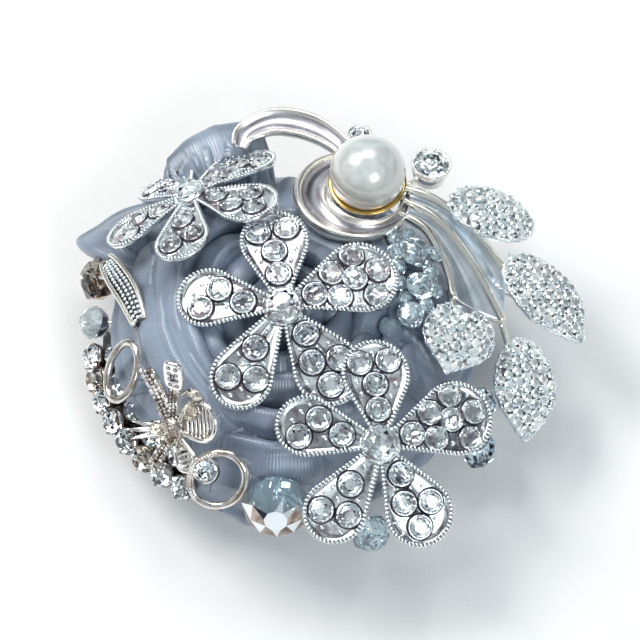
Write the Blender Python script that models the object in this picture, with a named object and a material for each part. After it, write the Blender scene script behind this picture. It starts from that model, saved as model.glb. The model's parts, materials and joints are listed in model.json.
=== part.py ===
"""Bridal hair clip: a satin rose trimmed with rhinestone castings, a pearl brooch and glass beads,
on a felt base with a sprung alligator clip underneath.

Row frame: +Z up through the rose, +X towards the clip's tip, origin on the lower jaw's flat underside.
Every dimension below is in millimetres; add_mesh() turns them into metres.
"""

import math

import bmesh
import bpy
from mathutils import Matrix, Vector

MM = 0.001
GAP = 0.3  # left between pieces that touch

# Rose: a half ellipsoid of folded satin.
ROSE_RADIUS = 33.0
ROSE_RIM_Z = 8.0
ROSE_TOP_Z = 26.5
SATIN_FLOOR_Z = 10.9  # underside of the satin, just above the felt
BUD_RADIUS = 9.0
INNER_FOLD_RADIUS = 14.0
ROLLED_FOLD_RADIUS = 19.5
PETAL_RIM_THICKNESS = 1.8
# Outer petals, counter-clockwise from +X: start angle, end angle, reach from the axis, height of the
# rim, height beside the rolled fold.
OUTER_PETALS = (
    (20, 60, 31.0, 3.6, 20.0),
    (60, 98, 31.0, 3.6, 20.0),
    (98, 123, 35.0, 13.0, 17.0),
    (123, 150, 36.0, 8.5, 17.0),
    (150, 200, 26.2, 11.6, 20.0),
    (200, 246, 26.2, 11.6, 20.0),
    (246, 292, 29.0, 3.6, 20.0),
    (292, 335, 29.6, 3.6, 20.0),
    (335, 380, 29.8, 9.4, 20.0),
)

# Felt and clip.
FELT_RADIUS = 24.5
FELT_BOTTOM_Z = 9.1
FELT_TOP_Z = 10.6
SHEET = 0.8  # sheet metal of the clip
PLATE_BOTTOM_Z = 8.0
CLIP_TAIL_X = -28.6
CLIP_TIP_X = 24.4
CLIP_HALF_WIDTH = 4.3
CLIP_TIP_HALF_WIDTH = 2.6
HINGE_X = -14.0
HINGE_Z = 5.0
PIN_RADIUS = 0.6
PIN_HOLE_RADIUS = 0.69
JAW_EAR_Y = (2.4, 3.2)
PLATE_EAR_Y = (3.5, 4.3)
STRAP_X = (-4.0, 8.0)
STRAP_THICKNESS = 1.0
STRAP_HALF_LENGTH = 12.5
# Underside of the lower jaw, from the lever's end to the tip: x, z, half width.
JAW_PROFILE = (
    (-28.6, 0.0, 3.6),
    (-25.4, 0.1, 3.8),
    (-18.5, 1.8, 3.2),
    (-10.5, 1.9, 3.2),
    (-5.5, 0.4, 3.7),
    (-3.0, 0.0, 4.0),
    (12.0, 0.0, 4.0),
    (16.0, 1.1, 3.7),
    (20.0, 3.4, 3.2),
    (24.4, 6.8, 2.6),
)

# One casting design, used three times: heading, length and rounding radius of each petal, from the first.
FLOWER_PETALS = ((0, 16.8, 5.4), (73, 16.7, 4.8), (143, 17.6, 4.9), (208, 17.6, 5.4), (287, 19.0, 5.9))
# x, y, z, lean from vertical, direction of the lean, heading of the first petal, scale.
FLOWERS = {
    "top_flower": (0.6, -3.3, 29.6, 8, 262, 97, 1.0),
    "front_flower": (15.5, -24.7, 25.3, 20, 290, 94, 0.97),
    "back_flower": (-14.2, 19.0, 25.3, 37, 124, 125, 0.9),
}
CASTING_THICKNESS = 1.2
CENTRE_STONE_RADIUS = 2.4

# Pearl brooch.
PEARL_RADIUS = 6.0
PEARL_SEAT = (13.8, 20.4, 24.2)
# The flared cup under the pearl, outside then inside, as radius and height above its seat.
PEARL_CUP_PROFILE = (
    (0.0, -1.4),
    (3.2, -1.2),
    (4.5, 0.0),
    (5.0, 0.9),
    (5.55, 2.0),
    (6.0, 2.9),
    (6.15, 3.3),
    (5.75, 3.3),
    (5.25, 2.4),
    (4.45, 1.2),
    (2.6, -0.1),
    (0.0, -0.5),
)
# The gutter round the pearl: x, y, z of its middle, lean and its direction; outer semi-axes; the hole
# in it for the cup.
GUTTER_SEAT = (11.4, 19.2, 24.5, 13, 61)
GUTTER_SEMI_AXES = (9.3, 9.0)
GUTTER_HOLE = (2.4, 1.1, 5.9)
SCROLL_ROUTE = (
    (-6.8, 29.8, 22.4),
    (-5.6, 32.2, 23.0),
    (-1.6, 33.8, 23.6),
    (2.6, 33.4, 23.8),
    (6.4, 31.8, 23.8),
    (9.4, 29.4, 23.6),
    (11.6, 27.0, 23.2),
)
# Three ribs of the streamer, from the pearl outwards, as matching stations.
STREAMER_INNER = (
    (18.6, 17.0, 23.6),
    (22.8, 14.4, 23.0),
    (25.2, 10.6, 22.0),
    (26.6, 7.0, 21.0),
    (27.2, 3.8, 20.2),
)
STREAMER_MIDDLE = (
    (19.2, 19.4, 23.6),
    (24.6, 16.4, 22.8),
    (28.8, 11.6, 21.4),
    (32.2, 6.2, 19.8),
    (35.2, 0.2, 18.0),
)
STREAMER_OUTER = (
    (18.8, 21.8, 23.4),
    (24.4, 20.0, 22.6),
    (29.0, 17.0, 21.4),
    (32.6, 13.4, 20.0),
    (36.0, 8.6, 18.6),
)
RIB_DEPTH = 0.8
# Pave leaves: x, y, z of the middle, lean, direction of the lean, heading of the tip, length, width,
# how pointed the tip is, depth of the notch at the blunt end.
PAVE_LEAVES = (
    (33.6, 17.2, 23.1, 12, 60, -28, 14.5, 9.6, 0.1, 0.0),
    (42.2, 4.0, 19.6, 16, 20, -52, 18.0, 10.4, 0.5, 0.0),
    (38.6, -10.2, 15.4, 22, 340, -88, 17.0, 10.4, 0.7, 0.0),
    (27.8, -4.9, 22.4, 12, 330, -108, 12.8, 11.6, 0.85, 0.16),
)
LEAF_THICKNESS = 1.1
# Stems under the leaves, each from the streamer to the middle of its leaf.
LEAF_STEMS = (
    ((24.6, 18.6, 21.2), (29.2, 17.6, 20.0), (33.6, 17.2, 19.3)),
    ((34.0, 7.0, 17.6), (38.0, 5.4, 16.4), (42.0, 4.0, 15.9)),
    ((35.0, 1.0, 16.4), (36.6, -4.0, 14.2), (38.4, -10.0, 12.4)),
    ((27.0, 5.6, 18.8), (27.4, 0.4, 18.9), (27.4, -4.4, 19.3)),
)
BIG_BEZEL = (24.0, 25.4, 22.6, 10, 60, 3.2)
SMALL_BEZEL = (12.6, 30.6, 24.0, 14, 90, 1.9)

# Filigree orchid: x, y, z, lean, direction of the lean; heading, length and rounding of each petal.
ORCHID_SEAT = (-16.6, -20.8, 21.8, 42, 232)
ORCHID_PETALS = (
    (12, 9.4, 3.1),
    (70, 12.0, 1.5),
    (98, 10.2, 1.4),
    (172, 7.0, 1.2),
    (236, 6.2, 1.8),
    (300, 6.8, 1.6),
)
ORCHID_RING = (-24.4, -9.9, 20.6, 44, 202, 60, 4.6, 3.0)
FILIGREE_BAR = ((-27.8, 11.2, 18.2), (-26.0, 7.6, 19.8), (-23.8, 3.2, 21.4), (-21.8, -2.2, 22.4))
STONE_LOOP = (-9.2, -28.8, 21.6, 50, 250, 40, 4.8, 4.0)

# Rhinestone chain along the front-left rim.
CHAIN_RADIUS = 29.4
CHAIN_FROM, CHAIN_TO = 186, 240
CHAIN_STONES = 8
CHAIN_Z = 12.0
CHAIN_LEAN = 62
CHAIN_STONE_RADIUS = 2.1

# Glass beads: x, y, z, radius, flattening along the bead's axis, lean and its direction.
GLASS_BEADS = (
    (-29.0, 10.4, 13.6, 3.9, 0.86, 60, 160),
    (-29.8, 3.2, 12.0, 2.8, 0.9, 60, 180),
    (-0.3, -31.6, 17.8, 5.4, 0.8, 60, 268),
    (14.2, -31.9, 8.6, 3.3, 0.9, 60, 290),
    (31.8, -10.6, 10.5, 2.8, 0.9, 50, 340),
    (31.2, -17.4, 8.6, 3.3, 0.9, 50, 330),
    (21.2, 8.9, 24.6, 2.8, 0.9, 30, 30),
    (21.9, 3.2, 24.2, 2.5, 0.9, 30, 10),
    (20.4, -2.2, 24.9, 2.3, 0.9, 20, 350),
)


# ---------------------------------------------------------------- general helpers
def clear_scene():
    for obj in list(bpy.data.objects):
        bpy.data.objects.remove(obj)


def finish_material(name, colour, roughness, metallic=0.0):
    found = bpy.data.materials.get(name)
    if found:
        return found
    made = bpy.data.materials.new(name)
    made.use_nodes = True
    shader = made.node_tree.nodes["Principled BSDF"]
    shader.inputs["Base Color"].default_value = (*colour, 1.0)
    shader.inputs["Roughness"].default_value = roughness
    shader.inputs["Metallic"].default_value = metallic
    made.diffuse_color = (*colour, 1.0)
    return made


def silver():
    return finish_material("silver plate", (0.80, 0.80, 0.82), 0.15, 1.0)


def nickel():
    return finish_material("nickel steel", (0.66, 0.66, 0.68), 0.28, 1.0)


def satin():
    return finish_material("satin", (0.52, 0.55, 0.66), 0.4)


def felt():
    return finish_material("felt", (0.62, 0.63, 0.68), 0.95)


def crystal():
    return finish_material("crystal", (0.86, 0.92, 0.96), 0.03)


def pearl_coat():
    return finish_material("pearl coat", (0.90, 0.88, 0.83), 0.18)


def add_mesh(name, vertices, faces, material, matrix=None, smooth=False):
    """A new object from points in millimetres; its faces are turned to point outwards."""
    shape = bmesh.new()
    corners = [shape.verts.new(Vector(v)) for v in vertices]
    for face in faces:
        shape.faces.new([corners[i] for i in face])
    if matrix is not None:
        shape.transform(matrix)
    bmesh.ops.recalc_face_normals(shape, faces=shape.faces)
    shape.transform(Matrix.Scale(MM, 4))
    mesh = bpy.data.meshes.new(name)
    shape.to_mesh(mesh)
    shape.free()
    mesh.materials.append(material)
    if smooth:
        mesh.shade_smooth()
    obj = bpy.data.objects.new(name, mesh)
    bpy.context.scene.collection.objects.link(obj)
    return obj


def put_origin_at(obj, point):
    """Moves an object's origin, and leaves its shape where it is."""
    place = Vector(point) * MM
    obj.data.transform(Matrix.Translation(-place))
    obj.location = place


def use_boolean(target, tool, operation):
    """Joins tool to target, or cuts it away, and turns tool into a hidden helper."""
    boolean = target.modifiers.new(operation.lower(), "BOOLEAN")
    boolean.operation = operation
    boolean.solver = "EXACT"
    boolean.object = tool
    tool.hide_render = True
    tool.hide_viewport = False
    tool.display_type = "WIRE"


def seat(x, y, z, lean, toward, spin=0.0):
    """A frame at a point, its Z axis leaning from vertical towards a compass direction, turned by spin."""
    return (
        Matrix.Translation((x, y, z))
        @ Matrix.Rotation(math.radians(toward), 4, "Z")
        @ Matrix.Rotation(math.radians(lean), 4, "Y")
        @ Matrix.Rotation(math.radians(spin - toward), 4, "Z")
    )


def dome_z(radius):
    """Height of the rose's surface at a distance from its axis."""
    return ROSE_RIM_Z + (ROSE_TOP_Z - ROSE_RIM_Z) * math.sqrt(max(0.0, 1 - (radius / ROSE_RADIUS) ** 2))


def smooth_route(points, steps):
    """Points on a Catmull-Rom curve through the given ones."""
    known = [Vector(p) for p in points]
    ends = [2 * known[0] - known[1], *known, 2 * known[-1] - known[-2]]
    route = []
    for a, b, c, d in zip(ends, ends[1:], ends[2:], ends[3:]):
        for step in range(steps):
            t = step / steps
            route.append(
                0.5
                * (2 * b + (c - a) * t + (2 * a - 5 * b + 4 * c - d) * t**2 + (3 * b - a - 3 * c + d) * t**3)
            )
    return [*route, known[-1]]


def loft_faces(rings, corners, closed=False):
    """Faces between rings of the same number of points, with caps unless the rings form a loop."""
    faces = []
    for i in range(rings if closed else rings - 1):
        near, far = i * corners, (i + 1) % rings * corners
        for j in range(corners):
            k = (j + 1) % corners
            faces.append((near + j, near + k, far + k, far + j))
    if not closed:
        faces.append(tuple(range(corners)))
        faces.append(tuple((rings - 1) * corners + j for j in reversed(range(corners))))
    return faces


def sweep(name, route, section, widths, material, closed=False, up=Vector((0, 0, 1))):
    """A bar along a route. section holds (across, up) pairs, the first scaled by each station's width."""
    vertices = []
    for i, point in enumerate(route):
        before = route[i - 1] if closed or i else point
        after = route[(i + 1) % len(route)] if closed or i + 1 < len(route) else point
        across = (after - before).cross(up).normalized()
        vertices += [point + across * s * widths[i] + up * u for s, u in section]
    return add_mesh(name, vertices, loft_faces(len(route), len(section), closed), material, smooth=True)


def oval_loop(name, frame, semi_axes, section, width, steps):
    """A closed oval bar in the XY plane of a frame."""
    angles = [2 * math.pi * k / steps for k in range(steps)]
    route = [frame @ Vector((semi_axes[0] * math.cos(a), semi_axes[1] * math.sin(a), 0)) for a in angles]
    up = frame.to_3x3() @ Vector((0, 0, 1))
    return sweep(name, route, section, [width] * steps, silver(), closed=True, up=up)


def turned(name, profile, segments, material, matrix=None, smooth=True):
    """A solid of revolution about Z. profile holds (radius, z) from bottom to top; radius 0 closes an end."""
    vertices, faces, rings = [], [], []
    for radius, z in profile:
        if radius == 0:
            rings.append([len(vertices)])
            vertices.append((0, 0, z))
            continue
        rings.append([len(vertices) + k for k in range(segments)])
        for k in range(segments):
            angle = 2 * math.pi * k / segments
            vertices.append((radius * math.cos(angle), radius * math.sin(angle), z))
    for low, high in zip(rings, rings[1:]):
        for k in range(segments):
            n = (k + 1) % segments
            if len(low) == 1:
                faces.append((low[0], high[n], high[k]))
            elif len(high) == 1:
                faces.append((low[k], low[n], high[0]))
            else:
                faces.append((low[k], low[n], high[n], high[k]))
    if len(rings[0]) > 1:
        faces.append(tuple(reversed(rings[0])))
    if len(rings[-1]) > 1:
        faces.append(tuple(rings[-1]))
    return add_mesh(name, vertices, faces, material, matrix, smooth)


def turned_ring(name, inner, outer, top, bottom, segments, material):
    """A ring about Z whose top follows top(radius), with a flat underside."""
    radii = [inner + (outer - inner) * t for t in (0.0, 0.35, 0.75, 1.0)]
    section = [(r, top(r)) for r in radii] + [(outer, bottom), (inner, bottom)]
    vertices = []
    for k in range(segments):
        angle = 2 * math.pi * k / segments
        vertices += [(r * math.cos(angle), r * math.sin(angle), z) for r, z in section]
    return add_mesh(name, vertices, loft_faces(segments, len(section), closed=True), material, smooth=True)


def dished_plate(name, outline, thickness, dish, hub, post, material, matrix):
    """A cast plate with a star-shaped outline round its middle, sagging by dish times radius squared,
    with a round glue post of radius hub and length post under its middle."""
    count = len(outline)
    points = [Vector(p) for p in outline]
    circle = [p.normalized() * hub for p in points]
    halfway = [c.lerp(p, 0.55) for c, p in zip(circle, points)]

    def drop(p):
        return -dish * p.length_squared

    levels = [
        [(*p, drop(p)) for p in circle],
        [(*p, drop(p)) for p in halfway],
        [(*p, drop(p)) for p in points],
        [(*p, drop(p) - thickness) for p in points],
        [(*p, drop(p) - thickness) for p in halfway],
        [(*p, drop(p) - thickness) for p in circle],
        [(*p, -thickness - post) for p in circle],
    ]
    vertices = [v for level in levels for v in level]
    faces = loft_faces(len(levels), count)
    return add_mesh(name, vertices, faces, material, matrix)


def petal_outline(petals, arc_steps, hub, scale=1.0):
    """Teardrop petals round a hub, each a circle with two straight sides that meet the axis.
    Each petal is (heading in degrees, length, radius of its round end), in order of heading."""
    outline = []
    for heading, length, round_radius in petals:
        middle = length - round_radius
        half_angle = math.asin(round_radius / middle)
        heading = math.radians(heading)
        outline.append((heading - half_angle - math.radians(2.5), hub))
        for step in range(arc_steps + 1):
            # 0.999 keeps the root real at the tangents
            swing = 0.999 * half_angle * (2 * step / arc_steps - 1)
            reach = middle * math.cos(swing) + math.sqrt(round_radius**2 - (middle * math.sin(swing)) ** 2)
            outline.append((heading + swing, reach))
        outline.append((heading + half_angle + math.radians(2.5), hub))
    return [(scale * r * math.cos(a), scale * r * math.sin(a)) for a, r in outline]


def leaf_outline(length, width, point, notch, steps=24):
    """A leaf along X with a scalloped edge, a tip at +X and, for a heart, a notch at -X."""
    outline = []
    for step in range(steps):
        angle = 2 * math.pi * step / steps
        x, y = math.cos(angle), math.sin(angle)
        scallop = 1 + 0.02 * math.cos(8 * angle)
        y *= 1 - point * max(0.0, x) ** 2
        x += notch * 2 * math.exp(-((y / 0.4) ** 2)) * max(0.0, -x)
        outline.append((0.5 * length * x * scallop, 0.5 * width * y * scallop))
    return outline


def cut_stone(name, radius, material, matrix, segments=8):
    """A round brilliant: table, crown, girdle and a cut-off pavilion, with its girdle at z = 0."""
    profile = ((0.25, -0.55), (1.0, -0.06), (1.0, 0.06), (0.58, 0.42))
    scaled = [(r * radius, z * radius) for r, z in profile]
    return turned(name, scaled, segments, material, matrix, smooth=False)


# ---------------------------------------------------------------- alligator clip
def holed_ear(name, side, y_range, half_length, z_low, z_high, target):
    """An ear of the hinge, joined to target, with a hole for the pin."""
    low, high = sorted(side * y for y in y_range)
    middle = (z_low + z_high) / 2
    corners = [
        (HINGE_X + x * half_length, y, middle + z * (z_high - z_low) / 2)
        for x in (-1, 1)
        for y, z in ((low, -1), (high, -1), (high, 1), (low, 1))
    ]
    ear = add_mesh(name, corners, loft_faces(2, 4), nickel())
    use_boolean(target, ear, "UNION")


def pin_hole(name, target):
    along_y = Matrix.Translation((HINGE_X, 0, HINGE_Z)) @ Matrix.Rotation(math.pi / 2, 4, "X")
    drill = turned(name, ((PIN_HOLE_RADIUS, -8), (PIN_HOLE_RADIUS, 8)), 20, nickel(), along_y)
    use_boolean(target, drill, "DIFFERENCE")


def strip(name, stations, material):
    """A sheet metal strip through stations of (x, z of its underside, half width)."""
    vertices = []
    for x, z, half in stations:
        vertices += [(x, -half, z), (x, half, z), (x, half, z + SHEET), (x, -half, z + SHEET)]
    return add_mesh(name, vertices, loft_faces(len(stations), 4), material)


def clip_top_plate():
    taper = (CLIP_TAIL_X, CLIP_TAIL_X + 1.2, HINGE_X, 8.0, 22.0, 23.6, CLIP_TIP_X)
    halves = (2.6, CLIP_HALF_WIDTH, CLIP_HALF_WIDTH, CLIP_HALF_WIDTH, 3.0, CLIP_TIP_HALF_WIDTH, 1.4)
    plate = strip("clip_top_plate", [(x, PLATE_BOTTOM_Z, h) for x, h in zip(taper, halves)], nickel())
    for side in (-1, 1):
        holed_ear(f"plate_ear_{side}", side, PLATE_EAR_Y, 2.6, HINGE_Z - 1.9, PLATE_BOTTOM_Z + 0.4, plate)
    pin_hole("plate_pin_drill", plate)


def clip_lower_jaw():
    jaw = strip("clip_lower_jaw", JAW_PROFILE, nickel())
    for side in (-1, 1):
        holed_ear(f"jaw_ear_{side}", side, JAW_EAR_Y, 2.4, JAW_PROFILE[3][1] + 0.3, HINGE_Z + 1.7, jaw)
    pin_hole("jaw_pin_drill", jaw)
    put_origin_at(jaw, (HINGE_X, 0, HINGE_Z))


def clip_hinge_pin():
    head, half = 1.15, PLATE_EAR_Y[1] + GAP
    profile = (
        (0.7 * head, -half - 0.6),
        (head, -half - 0.3),
        (head, -half),
        (PIN_RADIUS, -half),
        (PIN_RADIUS, half),
        (head, half),
        (head, half + 0.3),
        (0.7 * head, half + 0.6),
    )
    along_y = Matrix.Translation((HINGE_X, 0, HINGE_Z)) @ Matrix.Rotation(math.pi / 2, 4, "X")
    turned("clip_hinge_pin", profile, 20, nickel(), along_y)


def clip_torsion_spring():
    """Two and a half turns of wire round the pin, one leg under the plate and one on the jaw."""
    wire, coil, turns, per_turn = 0.3, 1.5, 2.5, 12
    half_width = 1.6
    start = math.radians(75)
    points = []
    for step in range(int(turns * per_turn) + 1):
        angle = start + 2 * math.pi * step / per_turn
        y = -half_width + 2 * half_width * step / (turns * per_turn)
        points.append(Vector((HINGE_X + coil * math.sin(angle), y, HINGE_Z + coil * math.cos(angle))))
    plate_leg = Vector((HINGE_X + 9.0, -half_width, PLATE_BOTTOM_Z - GAP - wire))
    jaw_leg = Vector((HINGE_X + 4.2, half_width, 3.4))
    first, last = points[0] + Vector((1.2, 0, 1.2)), points[-1] + Vector((1.0, 0, -0.5))
    points = [plate_leg, first, *points, last, jaw_leg]
    curve = bpy.data.curves.new("clip_torsion_spring", "CURVE")
    curve.dimensions = "3D"
    curve.bevel_depth = wire * MM
    curve.bevel_resolution = 1
    curve.use_fill_caps = True
    spline = curve.splines.new("POLY")
    spline.points.add(len(points) - 1)
    for place, point in zip(spline.points, points):
        place.co = (*(point * MM), 1.0)
    curve.materials.append(nickel())
    spring = bpy.data.objects.new("clip_torsion_spring", curve)
    bpy.context.scene.collection.objects.link(spring)


# ---------------------------------------------------------------- felt
def felt_parts():
    turned("felt_base", ((FELT_RADIUS, FELT_BOTTOM_Z), (FELT_RADIUS, FELT_TOP_Z)), 40, felt())
    low = PLATE_BOTTOM_Z - GAP - STRAP_THICKNESS
    flap_top = FELT_BOTTOM_Z - GAP
    inside = CLIP_HALF_WIDTH + GAP + 0.2
    outside = inside + STRAP_THICKNESS
    section = [
        (-STRAP_HALF_LENGTH, flap_top - STRAP_THICKNESS),
        (-outside, flap_top - STRAP_THICKNESS),
        (-outside, low),
        (outside, low),
        (outside, flap_top - STRAP_THICKNESS),
        (STRAP_HALF_LENGTH, flap_top - STRAP_THICKNESS),
        (STRAP_HALF_LENGTH, flap_top),
        (inside, flap_top),
        (inside, low + STRAP_THICKNESS),
        (-inside, low + STRAP_THICKNESS),
        (-inside, flap_top),
        (-STRAP_HALF_LENGTH, flap_top),
    ]
    vertices = [(x, y, z) for x in STRAP_X for y, z in section]
    add_mesh("felt_strap", vertices, loft_faces(2, len(section)), felt())


# ---------------------------------------------------------------- satin rose
def satin_rose():
    steps = 5
    profile = [(BUD_RADIUS, SATIN_FLOOR_Z)]
    radii = [BUD_RADIUS * (1 - k / steps) for k in range(steps + 1)]
    profile += [(radius, dome_z(radius)) for radius in radii]
    turned("satin_bud", profile, 24, satin())
    turned_ring("satin_inner_fold", BUD_RADIUS + GAP, INNER_FOLD_RADIUS, dome_z, SATIN_FLOOR_Z, 30, satin())
    inside = INNER_FOLD_RADIUS + GAP
    turned_ring("satin_rolled_fold", inside, ROLLED_FOLD_RADIUS, dome_z, SATIN_FLOOR_Z, 36, satin())
    for number, petal in enumerate(OUTER_PETALS, 1):
        outer_petal(f"satin_petal_{number}", *petal)


def outer_petal(name, start, end, reach, rim_z, inner_z):
    """One sector of the outer ring: thick inside the felt's edge, with a thin drooping or lifted rim."""
    inner = ROLLED_FOLD_RADIUS + GAP
    past_felt = FELT_RADIUS + 0.7
    radii = [inner, inner + 2.2, (inner + past_felt) / 2 + 1.0, past_felt, (past_felt + reach) / 2, reach]
    columns = 5
    half_gap = math.degrees(GAP / inner) / 2
    start, end = start + half_gap, end - half_gap
    top, bottom = [], []
    for radius in radii:
        t = (radius - inner) / (reach - inner)
        high = rim_z + (inner_z - rim_z) * math.sqrt(max(0.0, 1 - t**2.2))
        past = max(0.0, (radius - past_felt) / (reach - past_felt))
        low = SATIN_FLOOR_Z + (rim_z - PETAL_RIM_THICKNESS - SATIN_FLOOR_Z) * past**0.8
        for column in range(columns + 1):
            s = column / columns
            angle = math.radians(start + (end - start) * s)
            rounded = radius * (1 - 0.06 * past * abs(2 * s - 1) ** 3)
            top.append((rounded * math.cos(angle), rounded * math.sin(angle), high))
            bottom.append((rounded * math.cos(angle), rounded * math.sin(angle), low))
    wide, size, rows = columns + 1, len(top), len(radii) - 1
    faces = []
    for row in range(rows):
        for column in range(columns):
            a = row * wide + column
            b, c, d = a + 1, a + wide + 1, a + wide
            faces += [(a, b, c, d), (size + d, size + c, size + b, size + a)]
    edge = list(range(wide))
    edge += [row * wide + columns for row in range(1, rows + 1)]
    edge += [rows * wide + column for column in range(columns - 1, -1, -1)]
    edge += [row * wide for row in range(rows - 1, 0, -1)]
    for i, a in enumerate(edge):
        b = edge[(i + 1) % len(edge)]
        faces.append((a, size + a, size + b, b))
    add_mesh(name, top + bottom, faces, satin(), smooth=True)


# ---------------------------------------------------------------- castings and stones
def five_petal_flowers():
    for name, (x, y, z, lean, toward, spin, scale) in FLOWERS.items():
        frame = seat(x, y, z, lean, toward, spin)
        outline = petal_outline(FLOWER_PETALS, 8, 3.0, scale)
        dished_plate(f"{name}_plate", outline, CASTING_THICKNESS, 0.008, 2.6, 0.8, silver(), frame)
        stone = frame @ Matrix.Translation((0, 0, 0.55 * CENTRE_STONE_RADIUS + GAP))
        cut_stone(f"{name}_centre_stone", CENTRE_STONE_RADIUS, crystal(), stone)


def gutter_loop(frame):
    """The crescent gutter between an outer oval and the round hole for the pearl's cup."""
    steps = 32
    hole_x, hole_y, hole_radius = GUTTER_HOLE
    rim = ((0.0, 0.7), (0.1, 0.7))
    section = (*rim, (0.3, -0.5), (0.72, -0.5), (0.88, 0.2), (1.0, 0.2), (1.0, -1.1), (0.0, -1.1))
    vertices = []
    for k in range(steps):
        angle = 2 * math.pi * k / steps
        outer = Vector((GUTTER_SEMI_AXES[0] * math.cos(angle), GUTTER_SEMI_AXES[1] * math.sin(angle), 0))
        inner = Vector((hole_x + hole_radius * math.cos(angle), hole_y + hole_radius * math.sin(angle), 0))
        vertices += [frame @ (outer.lerp(inner, across) + Vector((0, 0, up))) for across, up in section]
    faces = loft_faces(steps, len(section), closed=True)
    return add_mesh("gutter", vertices, faces, silver(), smooth=True)


def pearl_brooch():
    hollow = ((-0.72, 0.55), (-0.5, 0.0), (0.5, 0.0), (0.72, 0.55))
    channel = ((-1, 0.55), *hollow, (1, 0.55), (1, -0.8), (-1, -0.8))
    scroll = smooth_route(SCROLL_ROUTE, 4)
    last = len(scroll) - 1
    widths = [1.1 + 0.9 * math.sin(math.pi * min(1.0, 0.15 + 1.1 * i / last)) for i in range(last + 1)]
    casting = sweep("pearl_brooch_casting", scroll, channel, widths, silver())

    use_boolean(casting, gutter_loop(seat(*GUTTER_SEAT)), "UNION")

    ribs = [smooth_route(rib, 3) for rib in (STREAMER_INNER, STREAMER_MIDDLE, STREAMER_OUTER)]
    vertices = []
    for inner, middle, outer in zip(*ribs):
        dip, low = Vector((0, 0, -RIB_DEPTH)), Vector((0, 0, -RIB_DEPTH - 0.8))
        across = [inner, (inner + middle) / 2 + dip, middle, (middle + outer) / 2 + dip, outer]
        vertices += across + [point + low for point in reversed(across[::2])]
    streamer = add_mesh("streamer", vertices, loft_faces(len(ribs[0]), 8), silver())
    use_boolean(casting, streamer, "UNION")
    square = ((-1, 0.5), (1, 0.5), (1, -0.5), (-1, -0.5))
    for number, stem in enumerate(LEAF_STEMS, 1):
        route = smooth_route(stem, 3)
        stalk = sweep(f"leaf_stem_{number}", route, square, [0.6] * len(route), silver())
        use_boolean(casting, stalk, "UNION")

    x, y, z = PEARL_SEAT
    turned("pearl_cup", PEARL_CUP_PROFILE, 24, silver(), Matrix.Translation((x, y, z)))
    rows = 10
    ball = [
        (PEARL_RADIUS * math.sin(math.pi * k / rows), -PEARL_RADIUS * math.cos(math.pi * k / rows))
        for k in range(1, rows)
    ]
    ball = [(0.0, -PEARL_RADIUS), *ball, (0.0, PEARL_RADIUS)]
    lift = PEARL_RADIUS - 0.2
    turned("pearl", ball, 20, pearl_coat(), Matrix.Translation((x, y, z + lift)))

    for label, (x, y, z, lean, toward, radius) in (("round", BIG_BEZEL), ("small", SMALL_BEZEL)):
        frame = seat(x, y, z, lean, toward)
        cup = ((0.7, -1.2), (1.0, 0.1), (1.0, 0.35), (0.86, 0.35), (0.5, -0.75), (0.0, -0.75))
        turned(f"{label}_bezel", [(r * radius, h * radius) for r, h in cup], 16, silver(), frame)
        stone = frame @ Matrix.Translation((0, 0, 0.35 * radius))
        cut_stone(f"{label}_bezel_stone", 0.8 * radius, crystal(), stone)

    for number, leaf in enumerate(PAVE_LEAVES, 1):
        outline, frame = leaf_outline(*leaf[6:]), seat(*leaf[:6])
        dished_plate(f"pave_leaf_{number}", outline, LEAF_THICKNESS, 0.012, 1.2, 0.5, silver(), frame)


def filigree_orchid():
    frame = seat(*ORCHID_SEAT)
    outline = petal_outline(ORCHID_PETALS, 4, 2.2)
    dished_plate("orchid_casting", outline, 1.0, -0.03, 1.6, 1.2, silver(), frame)
    drop = ((0.3, 0.3), (1.5, 1.2), (2.6, 3.0), (2.2, 4.6), (0.8, 6.2))
    turned("orchid_crystal", drop, 8, crystal(), frame, smooth=False)

    round_bar = [(0.9 * math.cos(math.pi * k / 4), 0.9 * math.sin(math.pi * k / 4)) for k in range(8)]
    for name, place in (("orchid_ring", ORCHID_RING), ("stone_loop", STONE_LOOP)):
        oval_loop(name, seat(*place[:6]), place[6:], round_bar, 1.0, 18)
    cut_stone("stone_loop_crystal", 2.4, crystal(), seat(*STONE_LOOP[:6]) @ Matrix.Translation((0, 0, 0.4)))

    channel = ((-1, 0.5), (-0.6, 0.5), (-0.45, 0.1), (0.45, 0.1), (0.6, 0.5), (1, 0.5), (1, -0.7), (-1, -0.7))
    bar = smooth_route(FILIGREE_BAR, 3)
    outwards = Vector((-0.62, 0.1, 0.78)).normalized()
    sweep("filigree_bar", bar, channel, [1.7] * len(bar), silver(), up=outwards)


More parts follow.
